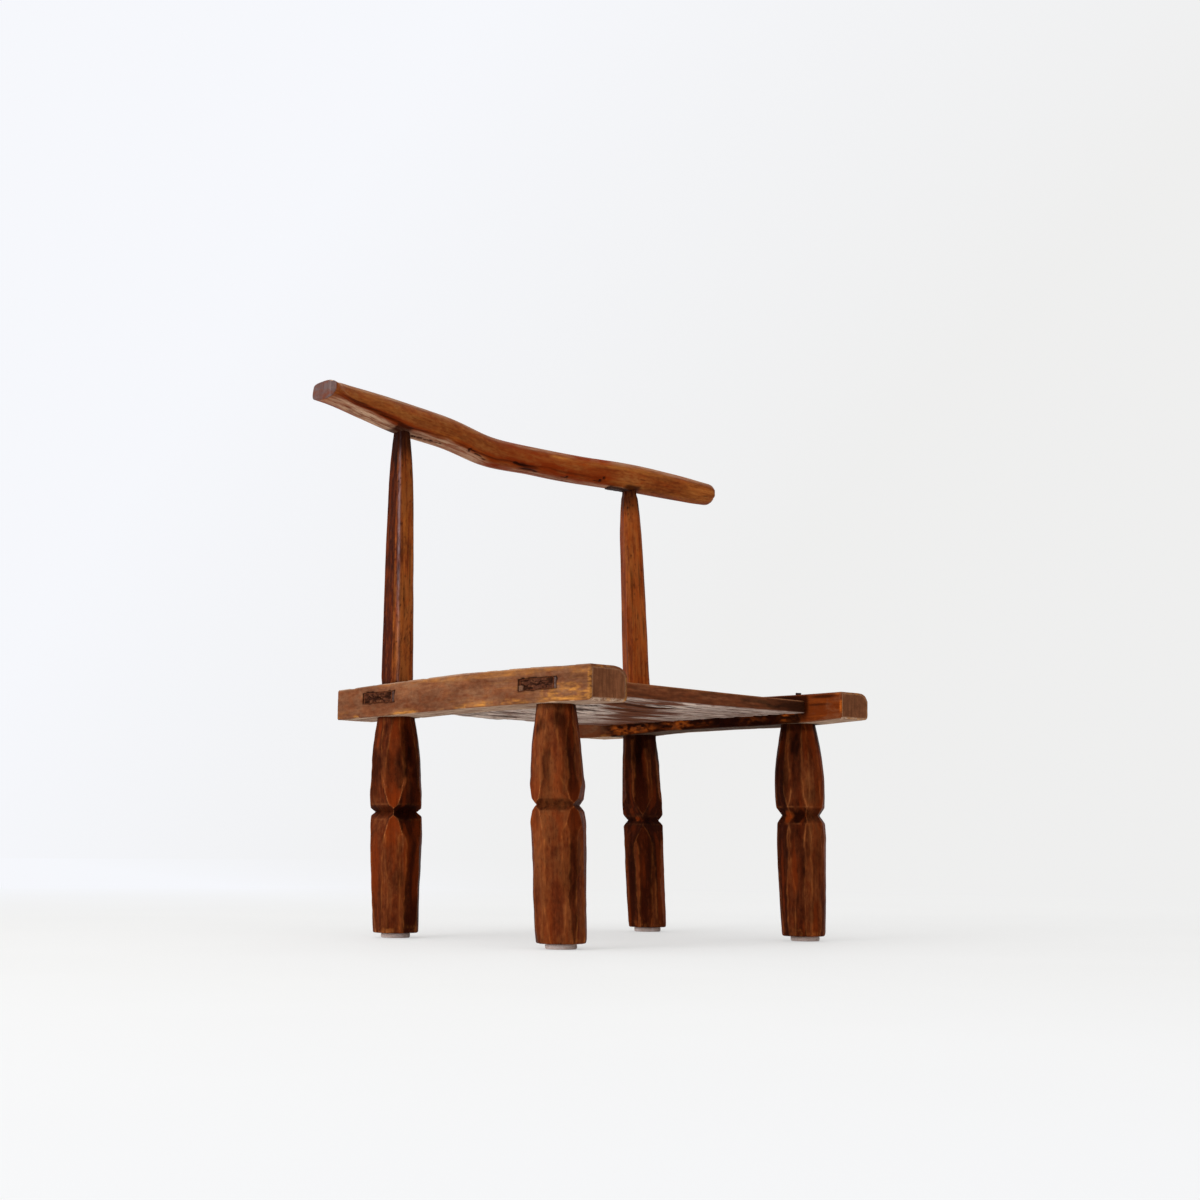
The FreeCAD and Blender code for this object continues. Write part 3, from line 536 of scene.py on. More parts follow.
# %% Hew the rails
def side_rail(name, rail):
    """The rail's section is carried along Y, and every point is pushed along its outward direction by
    the sum of slow adze waves, fine grain, chipped arrises, torn spots and the mortise pockets."""
    side, (low_m, high_m) = rail["side"], rail["mortise"]
    edges = [c + s * HALF_MORTISE + d for c in rail["centres"] for s in (-1, 1) for d in (-0.08, 0.08)]
    along, inset, scale = ring_plan(FRONT, rail["back"], 1.15, rail["front_round"], 2.0, 16, edges)
    top = rail_height(rail, along, "tops", rail["underside"] + rail["height"])
    low = rail_height(rail, along, "lows", rail["underside"])
    middle = rail_middle(rail, along)
    front = fade(along - FRONT - 10, 90)
    wide, wider, tall, taller = rail["worn"]
    first, second, growth, last = rail["radii"]
    radii = (first, second + growth * front, (wide + wider * front, tall + taller * front), last)
    half_w, half_h = rail["width"] / 2, (top - low)[:, None] / 2
    across, up, out = rounded_section(middle - half_w, middle + half_w, low, top, radii,
                                      [34, 30, 26, 30, 6, 7, 17, 6], 3 if side < 0 else 1, rail["mortise"])
    middle_x, middle_up = middle[:, None], ((top + low) / 2)[:, None]
    y = np.broadcast_to(along[:, None], across.shape)
    points = np.stack([across, y, up], -1)
    wave = 0.40 * soft(points, (30, 58, 24), 3 + side) + 0.16 * rough(points, (5, 36, 4), 7)
    fine = 0.10 * rough(points, (2.0, 17, 1.9), 9)
    to_edge = np.hypot(half_w - abs(across - middle_x), half_h - abs(up - middle_up))
    arris = fade(to_edge - 1.2, 4.0)
    chips = held(soft(points, (6, 11, 6), 17 + side) - 0.32) * arris * 2.2
    torn = spots(y, up, rail["hurt"]) * (out[:, 0] < -0.2)
    torn_depth = torn * (0.5 + 1.6 * np.clip(rough(points, (5, 12, 2.0), 23), -0.3, 1))
    outward = side * out[:, 0] > 0.9
    in_length = np.zeros(y.shape, bool)
    rim = np.full(across.shape, 99.0)
    for centre in rail["centres"]:
        gap_y = abs(y - centre) - HALF_MORTISE
        gap_z = abs(up - (low_m + high_m) / 2) - (high_m - low_m) / 2
        in_length |= gap_y < 0
        rim = np.minimum(rim, np.hypot(np.clip(gap_y, 0, None), np.clip(gap_z, 0, None)))
    pocket = (up > low_m) & (up < high_m) & outward & in_length & (scale[:, None] == 1)
    ragged = held(soft(points, (4, 5, 3), 27) + 0.15) * fade(rim - 0.2, 2.4) * outward
    push = wave + fine - chips - torn_depth - inset[:, None] - ragged - 2.4 * pocket
    across = drawn_to(middle_x, across + push * out[:, 0], scale)
    up = drawn_to(middle_up, up + push * out[:, 1], scale)
    end = on_end_face(scale, across)
    face = np.stack([across, y, up], -1)
    saw = 0.12 * rough(face, (1.5, 9, 16), 31) + 0.3 * soft(face, (16, 9, 16), 32)
    y = np.clip(y + np.where(along < 0, -1.0, 1.0)[:, None] * end * saw, FRONT, rail["back"])

    place, body = np.stack([across, y, up], -1), 1 - end
    facing = (out[:, 1], -side * out[:, 0])
    gold, dark, dry, red = rail_marks(name, y, up, facing, place)
    gold = gold + 0.8 * arris * held(chips * 1.2) + 0.9 * torn * held(0.6 + torn_depth * 0.4)
    front_arris = fade(y - FRONT - 0.8, rail["lip"]) * body
    gold = gold + 0.6 * front_arris * held(0.45 + 1.9 * soft(face, (4, 4, 4), 34))
    # A highlight is painted in pale dry colour along the upper edge that faces out, with less gold just
    # under it, and the left rail is tinted gold below that.
    under_top = top[:, None] - up
    painted_edge_highlight = fade(under_top - 0.5, 1.5) * (facing[1] < -0.05)
    dry = dry + 0.7 * painted_edge_highlight * held(0.9 + 0.5 * soft(face, (9, 40, 9), 40))
    gold = gold * (1 - painted_edge_highlight) * (1 - 0.75 * fade(under_top - 3, 4) * (facing[1] < 0))
    tinted = fade(under_top - 5, 4) * fade(y - 10, 90) * (facing[1] < -0.5) * (side < 0)
    gold = gold + 0.32 * tinted * held(0.8 + 1.6 * soft(face, (6, 40, 3), 45))
    dark = dark + outward * held(1.25 * ragged + 0.7 * fade(rim, 0.9)) + pocket * 0.9
    lines = held(1 - abs(soft(face, (3.4, 9, 34), 35)) / 0.07)
    dark_end = end * (0.5 * lines * held(soft(face, 11, 36) + 0.5))
    pale_rim = end * fade(1 - scale[:, None], 0.12)
    grain = np.stack([across - middle_x + 60 * side, up - 200, y], -1)
    grain = wandering(grain, 1.6, points, (60, 90, 60), 37)
    tone = 0.5 + 0.30 * soft(points, (26, 44, 18), 39) * body + 0.2 * rough(face, (4, 12, 4), 38)
    return skin(place, grain, wear=gold * body + 0.3 * pale_rim, grime=dark * body + dark_end,
                dry=dry * body + 0.35 * pale_rim, stain=red * body, end=end, tone=tone)


for name, rail in rails.items():
    add_piece(name + "_hewn", [side_rail(name, rail)], "rail_wood", [name])

# %% [markdown]
# The seat is one board. Its top is worn smooth, but underneath it is still as hewn: dry, grey, with
# long checks along the fibres. The grid is therefore fine across the fibres and coarse along them, and
# each check is a narrow groove that wanders and tapers out. The four tenons show as end grain in the
# rails' mortises, so each end is its own small block, rough and split.

# %% Drying checks
def grooves(across, along, count, seed, box, length, width, depth, wander=2.0):
    """Checks in dry wood. Each is a groove round the line across = a + a slow sine wave. With t from -1
    to 1 along it, its half width is w (1 - t^2), and at d half widths from the line its depth is
    deep (1 - d^2) sqrt(1 - t^2). The deepest one wins. Returns the depth at every point."""
    pick = np.random.default_rng(seed)
    total = np.zeros(np.broadcast(across, along).shape)
    for _ in range(count):
        at_a, at_b = pick.uniform(box[0], box[1]), pick.uniform(box[2], box[3])
        half, wide, deep = pick.uniform(*length) / 2, pick.uniform(*width) / 2, pick.uniform(*depth)
        t = (along - at_b) / half
        drift = wander * np.sin(along / pick.uniform(14, 30) + pick.uniform(0, 6)) * 0.5
        reach = wide * held(1 - t ** 2) + 1e-6
        check = deep * held(1 - ((across - at_a - drift) / reach) ** 2) * held(1 - t ** 2) ** 0.5
        total = np.maximum(total, check)
    return total

# %% The seat's board
WEST, EAST = -159.12, 182.88
SEAT_FRONT, SEAT_BACK = -160.8, 172.0
SEAT_TOP, SEAT_UNDER = (253.2, 246.2, 0.2), (238.6, 234.4, 1.8)


def seat_height(x, left, right, bow):
    """A board face between its heights at the two rails, bowed by so much in the middle."""
    t = (x - WEST) / (EAST - WEST)
    return left + (right - left) * t - bow * (1 - (2 * t - 1) ** 2)


def seat_body():
    """The board's section across the fibres is carried along X from rail to rail."""
    along, inset, scale = ring_plan(-134.6, 160.6, 3.3, 0.3, 0.3, 2)
    low, high = seat_height(along, *SEAT_UNDER), seat_height(along, *SEAT_TOP)
    flat = np.ones(along.shape)
    across, up, out = rounded_section(SEAT_FRONT * flat, SEAT_BACK * flat, low, high,
                                      (1.4, 1.6, 2.6, 2.2), [384, 12, 170, 14, 5, 5, 6, 6])
    x = np.broadcast_to(along[:, None], across.shape)
    points = np.stack([x, across, up], -1)
    below, above = held(-out[:, 1]), held(out[:, 1])
    standing = held(1 - below - above)
    box = (SEAT_FRONT, SEAT_BACK, -134, 160)
    deep_checks = grooves(across, x, 62, 49, box, (70, 200), (4.0, 8.5), (1.2, 2.9), 5.0)
    fine_checks = grooves(across, x, 190, 51, box, (22, 90), (2.4, 5.5), (0.5, 1.5))
    top_checks = grooves(across, x, 26, 52, box, (30, 120), (2.2, 3.4), (0.15, 0.5)) * above
    ridges = soft(points, (42, 7.5, 50), 53) + 0.5 * soft(points, (24, 4, 50), 54)
    fibre = rough(points, (30, 2.6, 40), 59)
    worn_top = 0.5 * soft(points, (60, 50, 40), 55) + 0.07 * rough(points, (40, 3.6, 30), 56)
    edge = 0.3 * soft(points, (50, 30, 6), 57) + 0.16 * rough(points, (22, 8, 1.8), 58)
    hewn = 0.25 + 0.75 * fade(x - 5, 60)
    checks = np.maximum(deep_checks, fine_checks) * below * (0.35 + 0.65 * hewn)
    push = below * hewn * (1.45 * ridges + 0.34 * fibre) + above * worn_top + standing * edge
    push = push - checks - top_checks
    push = push - above * np.exp(-((x - 12) / 90) ** 2 - ((across + 10) / 95) ** 2) - inset[:, None]
    across = drawn_to(5, across + push * out[:, 0], scale)
    up = drawn_to(((low + high) / 2)[:, None], up + push * out[:, 1], scale)

    # A brown stain lies across the grey underside, and the corner by the right rail is darker again.
    streaky = rough(points, (34, 6, 20), 61)
    run, off = (x - 40) * 0.66 + (across + 30) * 0.75, (x - 40) * 0.75 - (across + 30) * 0.66
    drawn = rough(points, (90, 16, 30), 65)
    stain = fade(abs(off + 52 * drawn) - 12, 26) * fade(abs(run) - 120, 50)
    corner = fade(-(across + 22 * streaky) + 60, 30) * fade(150 - x, 60) * fade(30 - x, 50)
    stain = np.maximum(stain, below * 0.7 * corner)
    sunk = held(-0.9 * ridges - 0.1)
    dry = below * held(1.0 + 0.7 * streaky + 0.5 * fibre - stain - 0.5 * sunk) * (0.60 + 0.40 * hewn)
    grime = below * np.clip(0.95 * checks + 0.45 * sunk + 0.9 * held(streaky - 0.12), 0, 0.95)
    grime = grime + np.clip(top_checks * 1.2, 0, 0.8)
    near_right, near_left = fade(146 - x, 62), fade(x + 132, 12)
    grime = grime + standing * (0.95 * near_right * held(1.0 + 1.2 * streaky) + 0.3 * near_left)
    grime = grime + 0.5 * above * fade(np.minimum(x + 132, 158 - x), 9)
    fleck = rough(points, (14, 8, 1.6), 62) + 0.5 * rough(points, (20, 20, 9), 66)
    grime = grime + standing * np.clip(1.2 * fleck - 0.05, 0, 0.7)
    front_edge = (out[:, 0] < -0.2) * np.ones(across.shape)
    # The pale worn line along the seat's front upper arris is worn wood and also that arris's highlight,
    # painted in.
    lip = fade(abs(up - seat_height(x, *SEAT_TOP) + 0.3), 1.2) * front_edge
    sat_on = np.exp(-((x - 12) / 80) ** 2 - ((across + 20) / 90) ** 2)
    wear = 0.75 * lip * held(0.6 + streaky) + 0.3 * above * sat_on
    wear = wear + above * fade(across - SEAT_FRONT, 12) * 0.4 + 0.5 * front_edge * held(1.3 * fleck - 0.3)
    wear = wear + below * np.clip(0.9 * fibre - 0.2, 0, 0.35) * stain
    grain = wandering(np.stack([across + 400, up - 100, x], -1), 1.5, points, (90, 50, 40), 63)
    tone = 0.5 + 0.22 * soft(points, (70, 30, 30), 64) + 0.1 * above
    tone = tone + standing * 0.5 * rough(points, (20, 9, 2.4), 67)
    return skin(np.stack([x, across, up], -1), grain, wear=wear, grime=grime, dry=dry,
                stain=below * stain * 0.9 + 0.35 * standing + 0.25 * above, tone=tone)

# %% Small rough blocks
def small_block(low, high, axis, seed, cap=9, columns=(24, 10), rough_end=0.4, rough_side=0.12,
                split=0.0, arris=0.35, taper=0.0, grain_axis=None, **layers):
    """A small fitted piece: a rounded rectangle carried along one axis from low to high. Its end faces
    are broken by rough noise and, if split is given, by a zigzag crack about that deep, by veins 0.6 as
    deep and by two broken corners. taper narrows the low end."""
    a, b = [k for k in range(3) if k != axis]
    start, stop = low[axis], high[axis]
    along, inset, scale = ring_plan(start, stop, max((stop - start) / 12, 0.4), arris, arris, cap)
    flat = np.ones(along.shape)
    t = (along - start) / (stop - start)
    half_b = (high[b] - low[b]) / 2 * (1 - taper * (1 - t))
    middle_a, middle_b = (low[a] + high[a]) / 2, (high[b] + low[b]) / 2
    first, second, out = rounded_section(low[a] * flat, high[a] * flat, middle_b - half_b, middle_b + half_b,
                                         (arris,) * 4, [*columns, *columns, 3, 3, 3, 3])
    points = np.empty(first.shape + (3,))
    points[..., a], points[..., b], points[..., axis] = first, second, along[:, None]
    push = rough_side * rough(points, 3.0, seed) - inset[:, None]
    first = drawn_to(middle_a, first + push * out[:, 0], scale)
    second = drawn_to(middle_b, second + push * out[:, 1], scale)
    points[..., a], points[..., b] = first, second
    end = on_end_face(scale, first)
    relief = rough_end * rough(points, (5, 3, 2) if axis == 0 else (4, 4, 4), seed + 1)
    crack = 0.0 * first
    if split:
        zigzag = 1.5 * (2 * abs(np.mod(first / 15 + seed * 0.37, 1) * 2 - 1) - 1)
        wander = zigzag + 1.2 * soft(points, 4.0, seed + 2)
        crack = split * fade(abs(second - middle_b + wander) - 0.2, 0.9)
        crack = crack * held(0.9 + soft(points, 9.0, seed + 5))
        veins = held(1 - abs(soft(points, (7, 7, 2.4), seed + 3)) / 0.16)
        gone = spots(first, second, [(low[a] + 3, high[b] - 1, 8, 3.5, 1.0),
                                     (high[a] - 6, low[b] + 1, 6, 2.5, 0.8)])
        crack = np.maximum(np.maximum(crack, 0.6 * split * veins), split * gone)
    points[..., axis] += np.where(t < 0.5, -1.0, 1.0)[:, None] * end * (relief - crack)
    fibres = axis if grain_axis is None else grain_axis
    order = [k for k in range(3) if k != fibres] + [fibres]
    grain = points[..., order] + np.array([seed * 37.0 % 500, seed * 11.0 % 300, 0])
    dark = end * held(crack * 1.1 + np.clip(-relief * 1.2, 0, 0.6))
    bright = end * np.clip(relief * 1.2 - 0.2, 0, 0.35) * (split > 0)
    return skin(points, grain, end=end, grime=dark + layers.pop("grime", 0.0),
                wear=bright + layers.pop("wear", 0.0), **layers)


def tenon_end(rail, corner_y, seed):
    """The end of a seat tenon inside the rail's mortise, just below the rail's outer face."""
    low_m, high_m = rail["mortise"]
    face = rail_middle(rail, corner_y) + rail["side"] * (rail["width"] / 2 - 0.75)
    inner = face - rail["side"] * 9.0
    low = np.array([min(face, inner), corner_y - HALF_MORTISE + 4.4 + 0.5, low_m + 0.12])
    high = np.array([max(face, inner), corner_y + HALF_MORTISE - 0.12, high_m - 0.12])
    return small_block(low, high, 0, seed, cap=14, columns=(66, 18), rough_end=0.75, split=1.5,
                       rough_side=0.15, arris=0.4, grime=0.18, stain=0.3)


ends = [tenon_end(rail, y, 70 + 3 * k)
        for k, (rail, y) in enumerate((rail, y) for rail in rails.values() for y in rail["centres"])]
add_piece("seat_board_worn", [seat_body()] + ends, "seat_wood", ["seat_board"])

# %% [markdown]
# The small fitted pieces hold the joints tight: a shim beside each tenon, a filler block in one mortise,
# a wedge across each front leg's tenon and a sliver under the crest. They are split or whittled scraps,
# so each is the same small rough block, sized by its CAD node.

# %% Shims, filler and wedges
def fitted(node, seed, shrink=0.25, set_back=0.0, gap=0.0, **options):
    """A block that fills a CAD node across the rail, drawn in on every side, set back from the rail's
    outer face, and with a gap at its front."""
    low, high = node_box(node)
    low, high = low + shrink + [0, gap, 0], high - shrink
    if low[0] + high[0] < 0:
        low[0] += set_back
    else:
        high[0] -= set_back
    add_piece(node + "_split", [small_block(low, high, 0, seed, **options)], "wedge_wood", [node])


for k, corner in enumerate(("rear_left", "front_left", "rear_right", "front_right")):
    fitted(corner + "_tenon_shim", 90 + k, set_back=0.35, gap=1.5, cap=8, columns=(10, 20), rough_end=0.25,
           grime=0.05, dry=0.22 if corner == "front_left" else 0.12)
fitted("front_left_mortise_filler", 97, set_back=0.2, cap=6, columns=(12, 12), rough_end=0.5, wear=0.35)

for corner in ("front_left", "front_right"):
    node = corner + "_leg_wedge"
    low, high = node_box(node)
    parts = []
    if corner == "front_right":
        # The splinter that was never trimmed stands proud of its wedge.
        middle_x = (low[0] + high[0]) / 2
        parts.append(small_block(np.array([middle_x - 3.4, low[1] + 0.35, high[2] - 8.0]),
                                 np.array([middle_x + 3.4, high[1] - 0.35, high[2] - 0.6]), 2, 102, cap=6,
                                 columns=(14, 8), rough_end=0.6, rough_side=0.3, grain_axis=2, grime=0.85))
    high[2] += 0.45 if corner == "front_left" else -4.0
    parts.append(small_block(low, high, 2, 101, cap=8, columns=(40, 8), rough_end=0.3, taper=0.5,
                             grain_axis=2, dry=0.35))
    add_piece(node + "_split", parts, "wedge_wood", [node])

low, high = node_box("crest_shim")
shim = small_block(low + [0, 0, 1.0], high + [3.0, 0, 0.6], 0, 104, cap=5, columns=(22, 5), rough_end=0.8,
                   rough_side=0.25, arris=0.25, grime=0.6)
add_piece("crest_shim_split", [shim], "wedge_wood", ["crest_shim"])

# %% [markdown]
# The legs are the carver's showpiece. Each is eight sided, and a V notch runs round it. Cutting the
# notch only into the four main facets leaves the four corner facets ending in lancet points, which is
# just what the real legs show. So a leg is worked out as the nearest of several knife planes: in every
# direction round the axis the surface is where the first plane is met.

# %% Knife cuts
def knife_cut(theta, directions, distances, blunt):
    """The radius where a ray at angle theta meets the nearest of several planes. Plane i faces angle a_i
    at distance d_i from the axis, so the ray meets it at r_i = d_i / cos(theta - a_i). The soft minimum
    r = -k log(sum(exp(-r_i / k))), where k is blunt, rounds the edges a little. Also returns how far
    the second nearest plane is, which is 0 on an edge, and which plane was met."""
    facing = np.cos(theta - directions[:, None, None])
    reach = np.where(facing > 0.3, distances[..., None] / np.clip(facing, 0.3, None), 1e3)
    nearest = np.partition(reach, 1, axis=0)
    smallest = nearest[0]
    radius = smallest - blunt * np.log(np.exp(-(reach - smallest) / blunt).sum(0))
    return radius, nearest[1] - smallest, reach.argmin(0)


def scallops(theta, z, seed, count, low, high, radius):
    """Shallow knife cuts. Each is bite (1 - (dz / l)^2 - (arc / w)^2) deep, and the deepest wins."""
    pick = np.random.default_rng(seed)
    total = np.zeros(np.broadcast(theta, z).shape)
    for _ in range(count):
        turn, height = pick.uniform(-np.pi, np.pi), pick.uniform(low, high)
        length, width, bite = pick.uniform(9, 26), pick.uniform(2.6, 6.0), pick.uniform(0.12, 0.42)
        arc = (np.mod(theta - turn + np.pi, 2 * np.pi) - np.pi) * radius
        total = np.maximum(total, bite * held(1 - ((z - height) / length) ** 2 - (arc / width) ** 2))
    return total


def round_angles(count):
    """A row of angles that goes once round an upright axis."""
    return np.linspace(-np.pi, np.pi, count, endpoint=False)[None, :]


def turned_to(theta, radius, z):
    """Points at a radius and an angle round the upright axis."""
    return np.stack([np.cos(theta) * radius, np.sin(theta) * radius, z], -1)


def leaning(piece, share, theta, radius):
    """x and y of a turned piece whose middle runs from its foot to its head."""
    (x0, y0), (x1, y1) = piece["foot"], piece["head"]
    return x0 + (x1 - x0) * share + radius * np.cos(theta), y0 + (y1 - y0) * share + radius * np.sin(theta)

# %% The four legs' sizes
# Each table holds height and half width across the flats. facets are the shades of the four main
# facets and then the four corner ones, in the order of their angles from the turn. marks are dark
# patches and glow golden ones: degrees round the leg, height, their two half lengths and strength.
legs = {
    "rear_left": dict(
        foot=(-155.78, 119.12), head=(-157.22, 124.4), under=227.2, turn=0.264, notch=128.0,
        table=[(5, 22.9), (38, 23.7), (68, 24.9), (89, 25.7), (112, 26.3), (145, 26.2), (161, 25.4),
               (192, 23.6), (223, 19.2), (232, 18.4)],
        main=1.0, corner=0.995, belly=6.8, belly_reach=34.0, cut=4.4, cut_reach=7.2,
        facets=[0.0, -0.16, -0.45, -0.1, 0.0, -0.08, -0.2, 0.0], ruddy=0.36, lines=1.0, glow=[],
        marks=[(262, 200, 26, 27, 1.0), (248, 168, 16, 20, 0.7), (285, 150, 20, 40, 0.6),
               (268, 128, 36, 7, 1.0)]),
    "front_left": dict(
        foot=(-150.14, -145.2), head=(-153.02, -136.8), under=227.2, turn=0.112, notch=133.0,
        table=[(5, 22.7), (17, 23.4), (63, 24.0), (91, 24.75), (110, 25.1), (150, 24.9), (175, 23.5),
               (194, 22.0), (212, 19.8), (226, 18.1), (232, 17.6)],
        main=1.0, corner=1.04, belly=4.2, belly_reach=22.0, cut=3.6, cut_reach=5.5,
        facets=[0.0, 0.1, 0.10, -0.1, 0.1, 0.20, -0.3, 0.1], ruddy=0.25, lines=0.5, glow=[],
        marks=[(240, 214, 30, 14, 0.8), (255, 185, 12, 40, 0.6), (205, 172, 14, 30, 0.4)]),
    "rear_right": dict(
        foot=(184.68, 114.0), head=(179.88, 124.4), under=221.4, turn=0.258, notch=125.0,
        table=[(5, 21.1), (57, 21.9), (103, 22.3), (145, 22.4), (171, 21.6), (194, 20.8), (211, 19.2),
               (228, 18.6)],
        main=1.0, corner=1.0, belly=10.0, belly_reach=27.0, cut=0.4, cut_reach=4.0,
        facets=[-0.1, -0.42, -0.34, -0.1, -0.1, -0.50, -0.2, 0.0], ruddy=0.28, lines=0.18,
        glow=[(203, 126.5, 20, 3.4, 0.9)],
        marks=[(215, 205, 30, 30, 0.8), (250, 90, 18, 60, 0.5), (190, 60, 14, 40, 0.4)]),
    "front_right": dict(
        foot=(177.88, -139.44), head=(177.88, -132.0), under=221.4, turn=0.101, notch=129.0,
        table=[(5, 22.2), (11, 22.3), (62, 24.0), (103, 25.0), (145, 25.4), (166, 25.0), (187, 23.5),
               (208, 20.3), (221, 18.0), (228, 17.0)],
        main=0.995, corner=0.995, belly=2.6, belly_reach=24.0, cut=4.0, cut_reach=8.0, all_cut=True,
        facets=[0.0, -0.34, -0.16, 0.0, -0.34, -0.3, 0.06, 0.0], ruddy=0.4, lines=0.35,
        glow=[(186, 127, 13, 8, 0.9)],
        marks=[(180, 175, 20, 55, 0.8), (212, 190, 16, 30, 0.4), (240, 105, 14, 40, 0.35),
               (218, 131, 22, 6, 1.0), (205, 205, 70, 34, 0.3)]),
}
PAD_TOP = 5.0
print("legs:", ", ".join(legs))

# %% Carve the legs
def leg_body(leg, seed):
    """A leg from foot to rail. Every knife plane's distance wavers along the leg, and eight narrow extra
    ones come and go between the rest. The four main ones drop in at the notch, and with all_cut the four
    corner ones too."""
    top = leg["under"] + 4.0
    # The top is hidden in the rail, so its end face keeps only one ring of ten.
    along, inset, scale = (values[:-9] for values in ring_plan(PAD_TOP, top, 0.95, 1.5, 0.4, 10))
    theta = round_angles(240)
    body = through(*np.array(leg["table"]).T, along)
    off = abs(along - leg["notch"])
    waist = leg["belly"] * held(1 - off / leg["belly_reach"]) ** 1.5
    waist = waist + leg["cut"] * held(1 - off / leg["cut_reach"])
    quarter = np.arange(4) * np.pi / 2 + leg["turn"] * 2 * np.pi
    between = quarter[0] + np.pi / 8 + np.arange(8) * np.pi / 4
    directions = np.concatenate([quarter, quarter + np.pi / 4, between])
    pick = np.random.default_rng(seed)
    line = np.stack([along, along * 0, along * 0], -1)
    waver = np.stack([0.40 * soft(line, 24.0, seed + k) + 0.20 * soft(line, 7.0, seed + 60 + k)
                      + pick.uniform(-0.25, 0.25) for k in range(16)])
    extra = np.stack([1.1 * soft(line, 44.0, seed + 90 + k) for k in range(8)])
    all_cut = leg.get("all_cut", False)
    if all_cut:
        corner_drop, wide, shoulder, strong = waist, 1.02, 0, 0.5
    else:
        corner_drop, wide, shoulder, strong = 0, 1.035, held(1 - off / 26) * 5, 1.0
    distances = np.concatenate([np.tile(body * leg["main"] - waist, (4, 1)),
                                np.tile(body * leg["corner"] - corner_drop, (4, 1)),
                                np.tile(body * wide + shoulder, (8, 1)) + extra * strong]) + waver
    radius, ridge, plane = knife_cut(theta, directions, distances, 0.09)
    z = np.broadcast_to(along[:, None], radius.shape)
    away = abs(z - leg["notch"])
    cuts = scallops(theta, z, seed + 5, 46, 12, top - 8, 24.0) * held((away - 5) / 8)
    turned = turned_to(theta, radius, z)
    fine = 0.06 * rough(turned, (1.8, 1.8, 26), seed + 6)
    rim = fade(z - PAD_TOP, 5.5)
    nibbled = rim * held(0.2 + 0.9 * soft(turned, (7, 7, 5), seed + 7))
    radius = (radius - cuts + fine - nibbled * 0.9 - inset[:, None]) * scale[:, None]
    x, y = leaning(leg, ((along - PAD_TOP) / (leg["under"] - PAD_TOP))[:, None], theta, radius)
    end = on_end_face(scale, radius)
    bottom = z - end * 0.25 * rough(turned, (2, 2, 9), seed + 8) * (scale[:, None] < 0.98)
    bottom = np.where(end > 0, np.maximum(bottom, PAD_TOP), bottom)

    # The knife's edges wear to orange, most of all along the lancet points by the notch.
    _, edge, facet = knife_cut(theta, directions[:8], distances[:8], 0.1)
    broken = rough(turned, (4, 4, 9), seed + 9)
    by_notch = fade(away - 14, 30)
    notched = (facet < 4) | all_cut
    lancet = np.exp(-(ridge if all_cut else edge) / 0.22) * (fade(3.5 - away, 2) if all_cut else 1)
    pale_line = 1.7 * leg["lines"] * lancet * (0.12 + 0.88 * by_notch) * held(0.8 + 1.4 * broken)
    lip = np.exp(-((away - leg["cut_reach"] - 0.6) / 0.8) ** 2) * notched
    pale_line = pale_line + 0.35 * lip * held(0.5 + 1.6 * broken)
    wear = 0.42 * np.exp(-ridge / 0.28) * held(0.7 + 1.1 * broken)
    wear = wear + 0.45 * fade(z - 7, 9) * held(0.1 + 1.6 * rough(turned, 4.0, seed + 19))
    streaks = held(2.6 * soft(turned, (5.5, 5.5, 70), seed + 10) + 0.5 * broken - 0.3)
    red = leg["ruddy"] * (1.3 * streaks + 0.12) + 0.6 * leg["lines"] * by_notch * ~notched
    grime = 0.62 * fade(away - 3.0, 7.0) * notched * held(0.8 + broken) * (edge > 0.35)
    blot = held(2.6 * rough(turned, (12, 12, 30), seed + 11) - 0.15)
    degrees = np.degrees(theta) % 360 + 9 * soft(turned, (9, 9, 22), seed + 23)
    marked = spots(degrees, z + 9 * soft(turned, (6, 6, 20), seed + 24), leg["marks"])
    grime = grime + 0.6 * blot * fade(top - 10 - z, 80) + 0.35 * blot
    grime = grime + 0.5 * fade(top - 6 - z, 5) + 0.85 * marked
    glow = spots(degrees, z, leg["glow"])
    wear, red, grime = wear + 0.35 * glow, red + glow, grime * (1 - glow)
    specks = held(soft(turned, (1.6, 1.6, 2.6), seed + 12) - 0.58) * 2.4
    grime = grime + specks * (0.4 + rim)
    shades = np.concatenate([leg["facets"], pick.uniform(-0.18, 0.18, 8)])
    tone = 0.5 + shades[plane] + 0.18 * soft(turned, (9, 9, 40), seed + 13)
    tone = tone + 0.16 * soft(turned, (2.4, 2.4, 34), seed + 15)
    tone = tone + 0.08 * soft(turned, (2, 2, 4), seed + 16)
    grain = np.stack([turned[..., 0] + 100 * seed % 700, turned[..., 1] + 50, z], -1)
    grain = wandering(grain, 1.2, turned, (50, 50, 60), seed + 14)
    return skin(np.stack([x, y, bottom], -1), grain, wear=wear * (1 - end), grime=grime,
                dry=pale_line * (1 - end), stain=red * (1 - end), end=end, tone=tone)

# %% The front legs' tenons
TENON_RADIUS = 13.0


def round_tenon(corner, leg, seed):
    """The round tenon that comes up through the rail of a front leg. Its top is end grain, trimmed with
    a knife and standing a hair proud."""
    high = node_box(corner + "_leg")[1][2] + 0.25
    along, inset, scale = ring_plan(leg["under"] - 3, high, 3.0, 0.3, 0.7, 14)
    theta = round_angles(96)
    radius = (TENON_RADIUS - inset[:, None] + 0 * theta) * scale[:, None]
    x, y = leg["head"][0] + radius * np.cos(theta), leg["head"][1] + radius * np.sin(theta)
    z = np.broadcast_to(along[:, None], x.shape)
    end = on_end_face(scale, x)
    cut = 0.3 * rough(np.stack([x, y, z], -1), (9, 2.4, 9), seed)
    grain = np.stack([x + 30, y + 300, z], -1)
    return skin(np.stack([x, y, z + end * (z > leg["under"]) * cut], -1), grain, end=end,
                grime=0.45 * fade(TENON_RADIUS - radius, 1.4) + 0.4 * held(-cut * 2), wear=0.15)


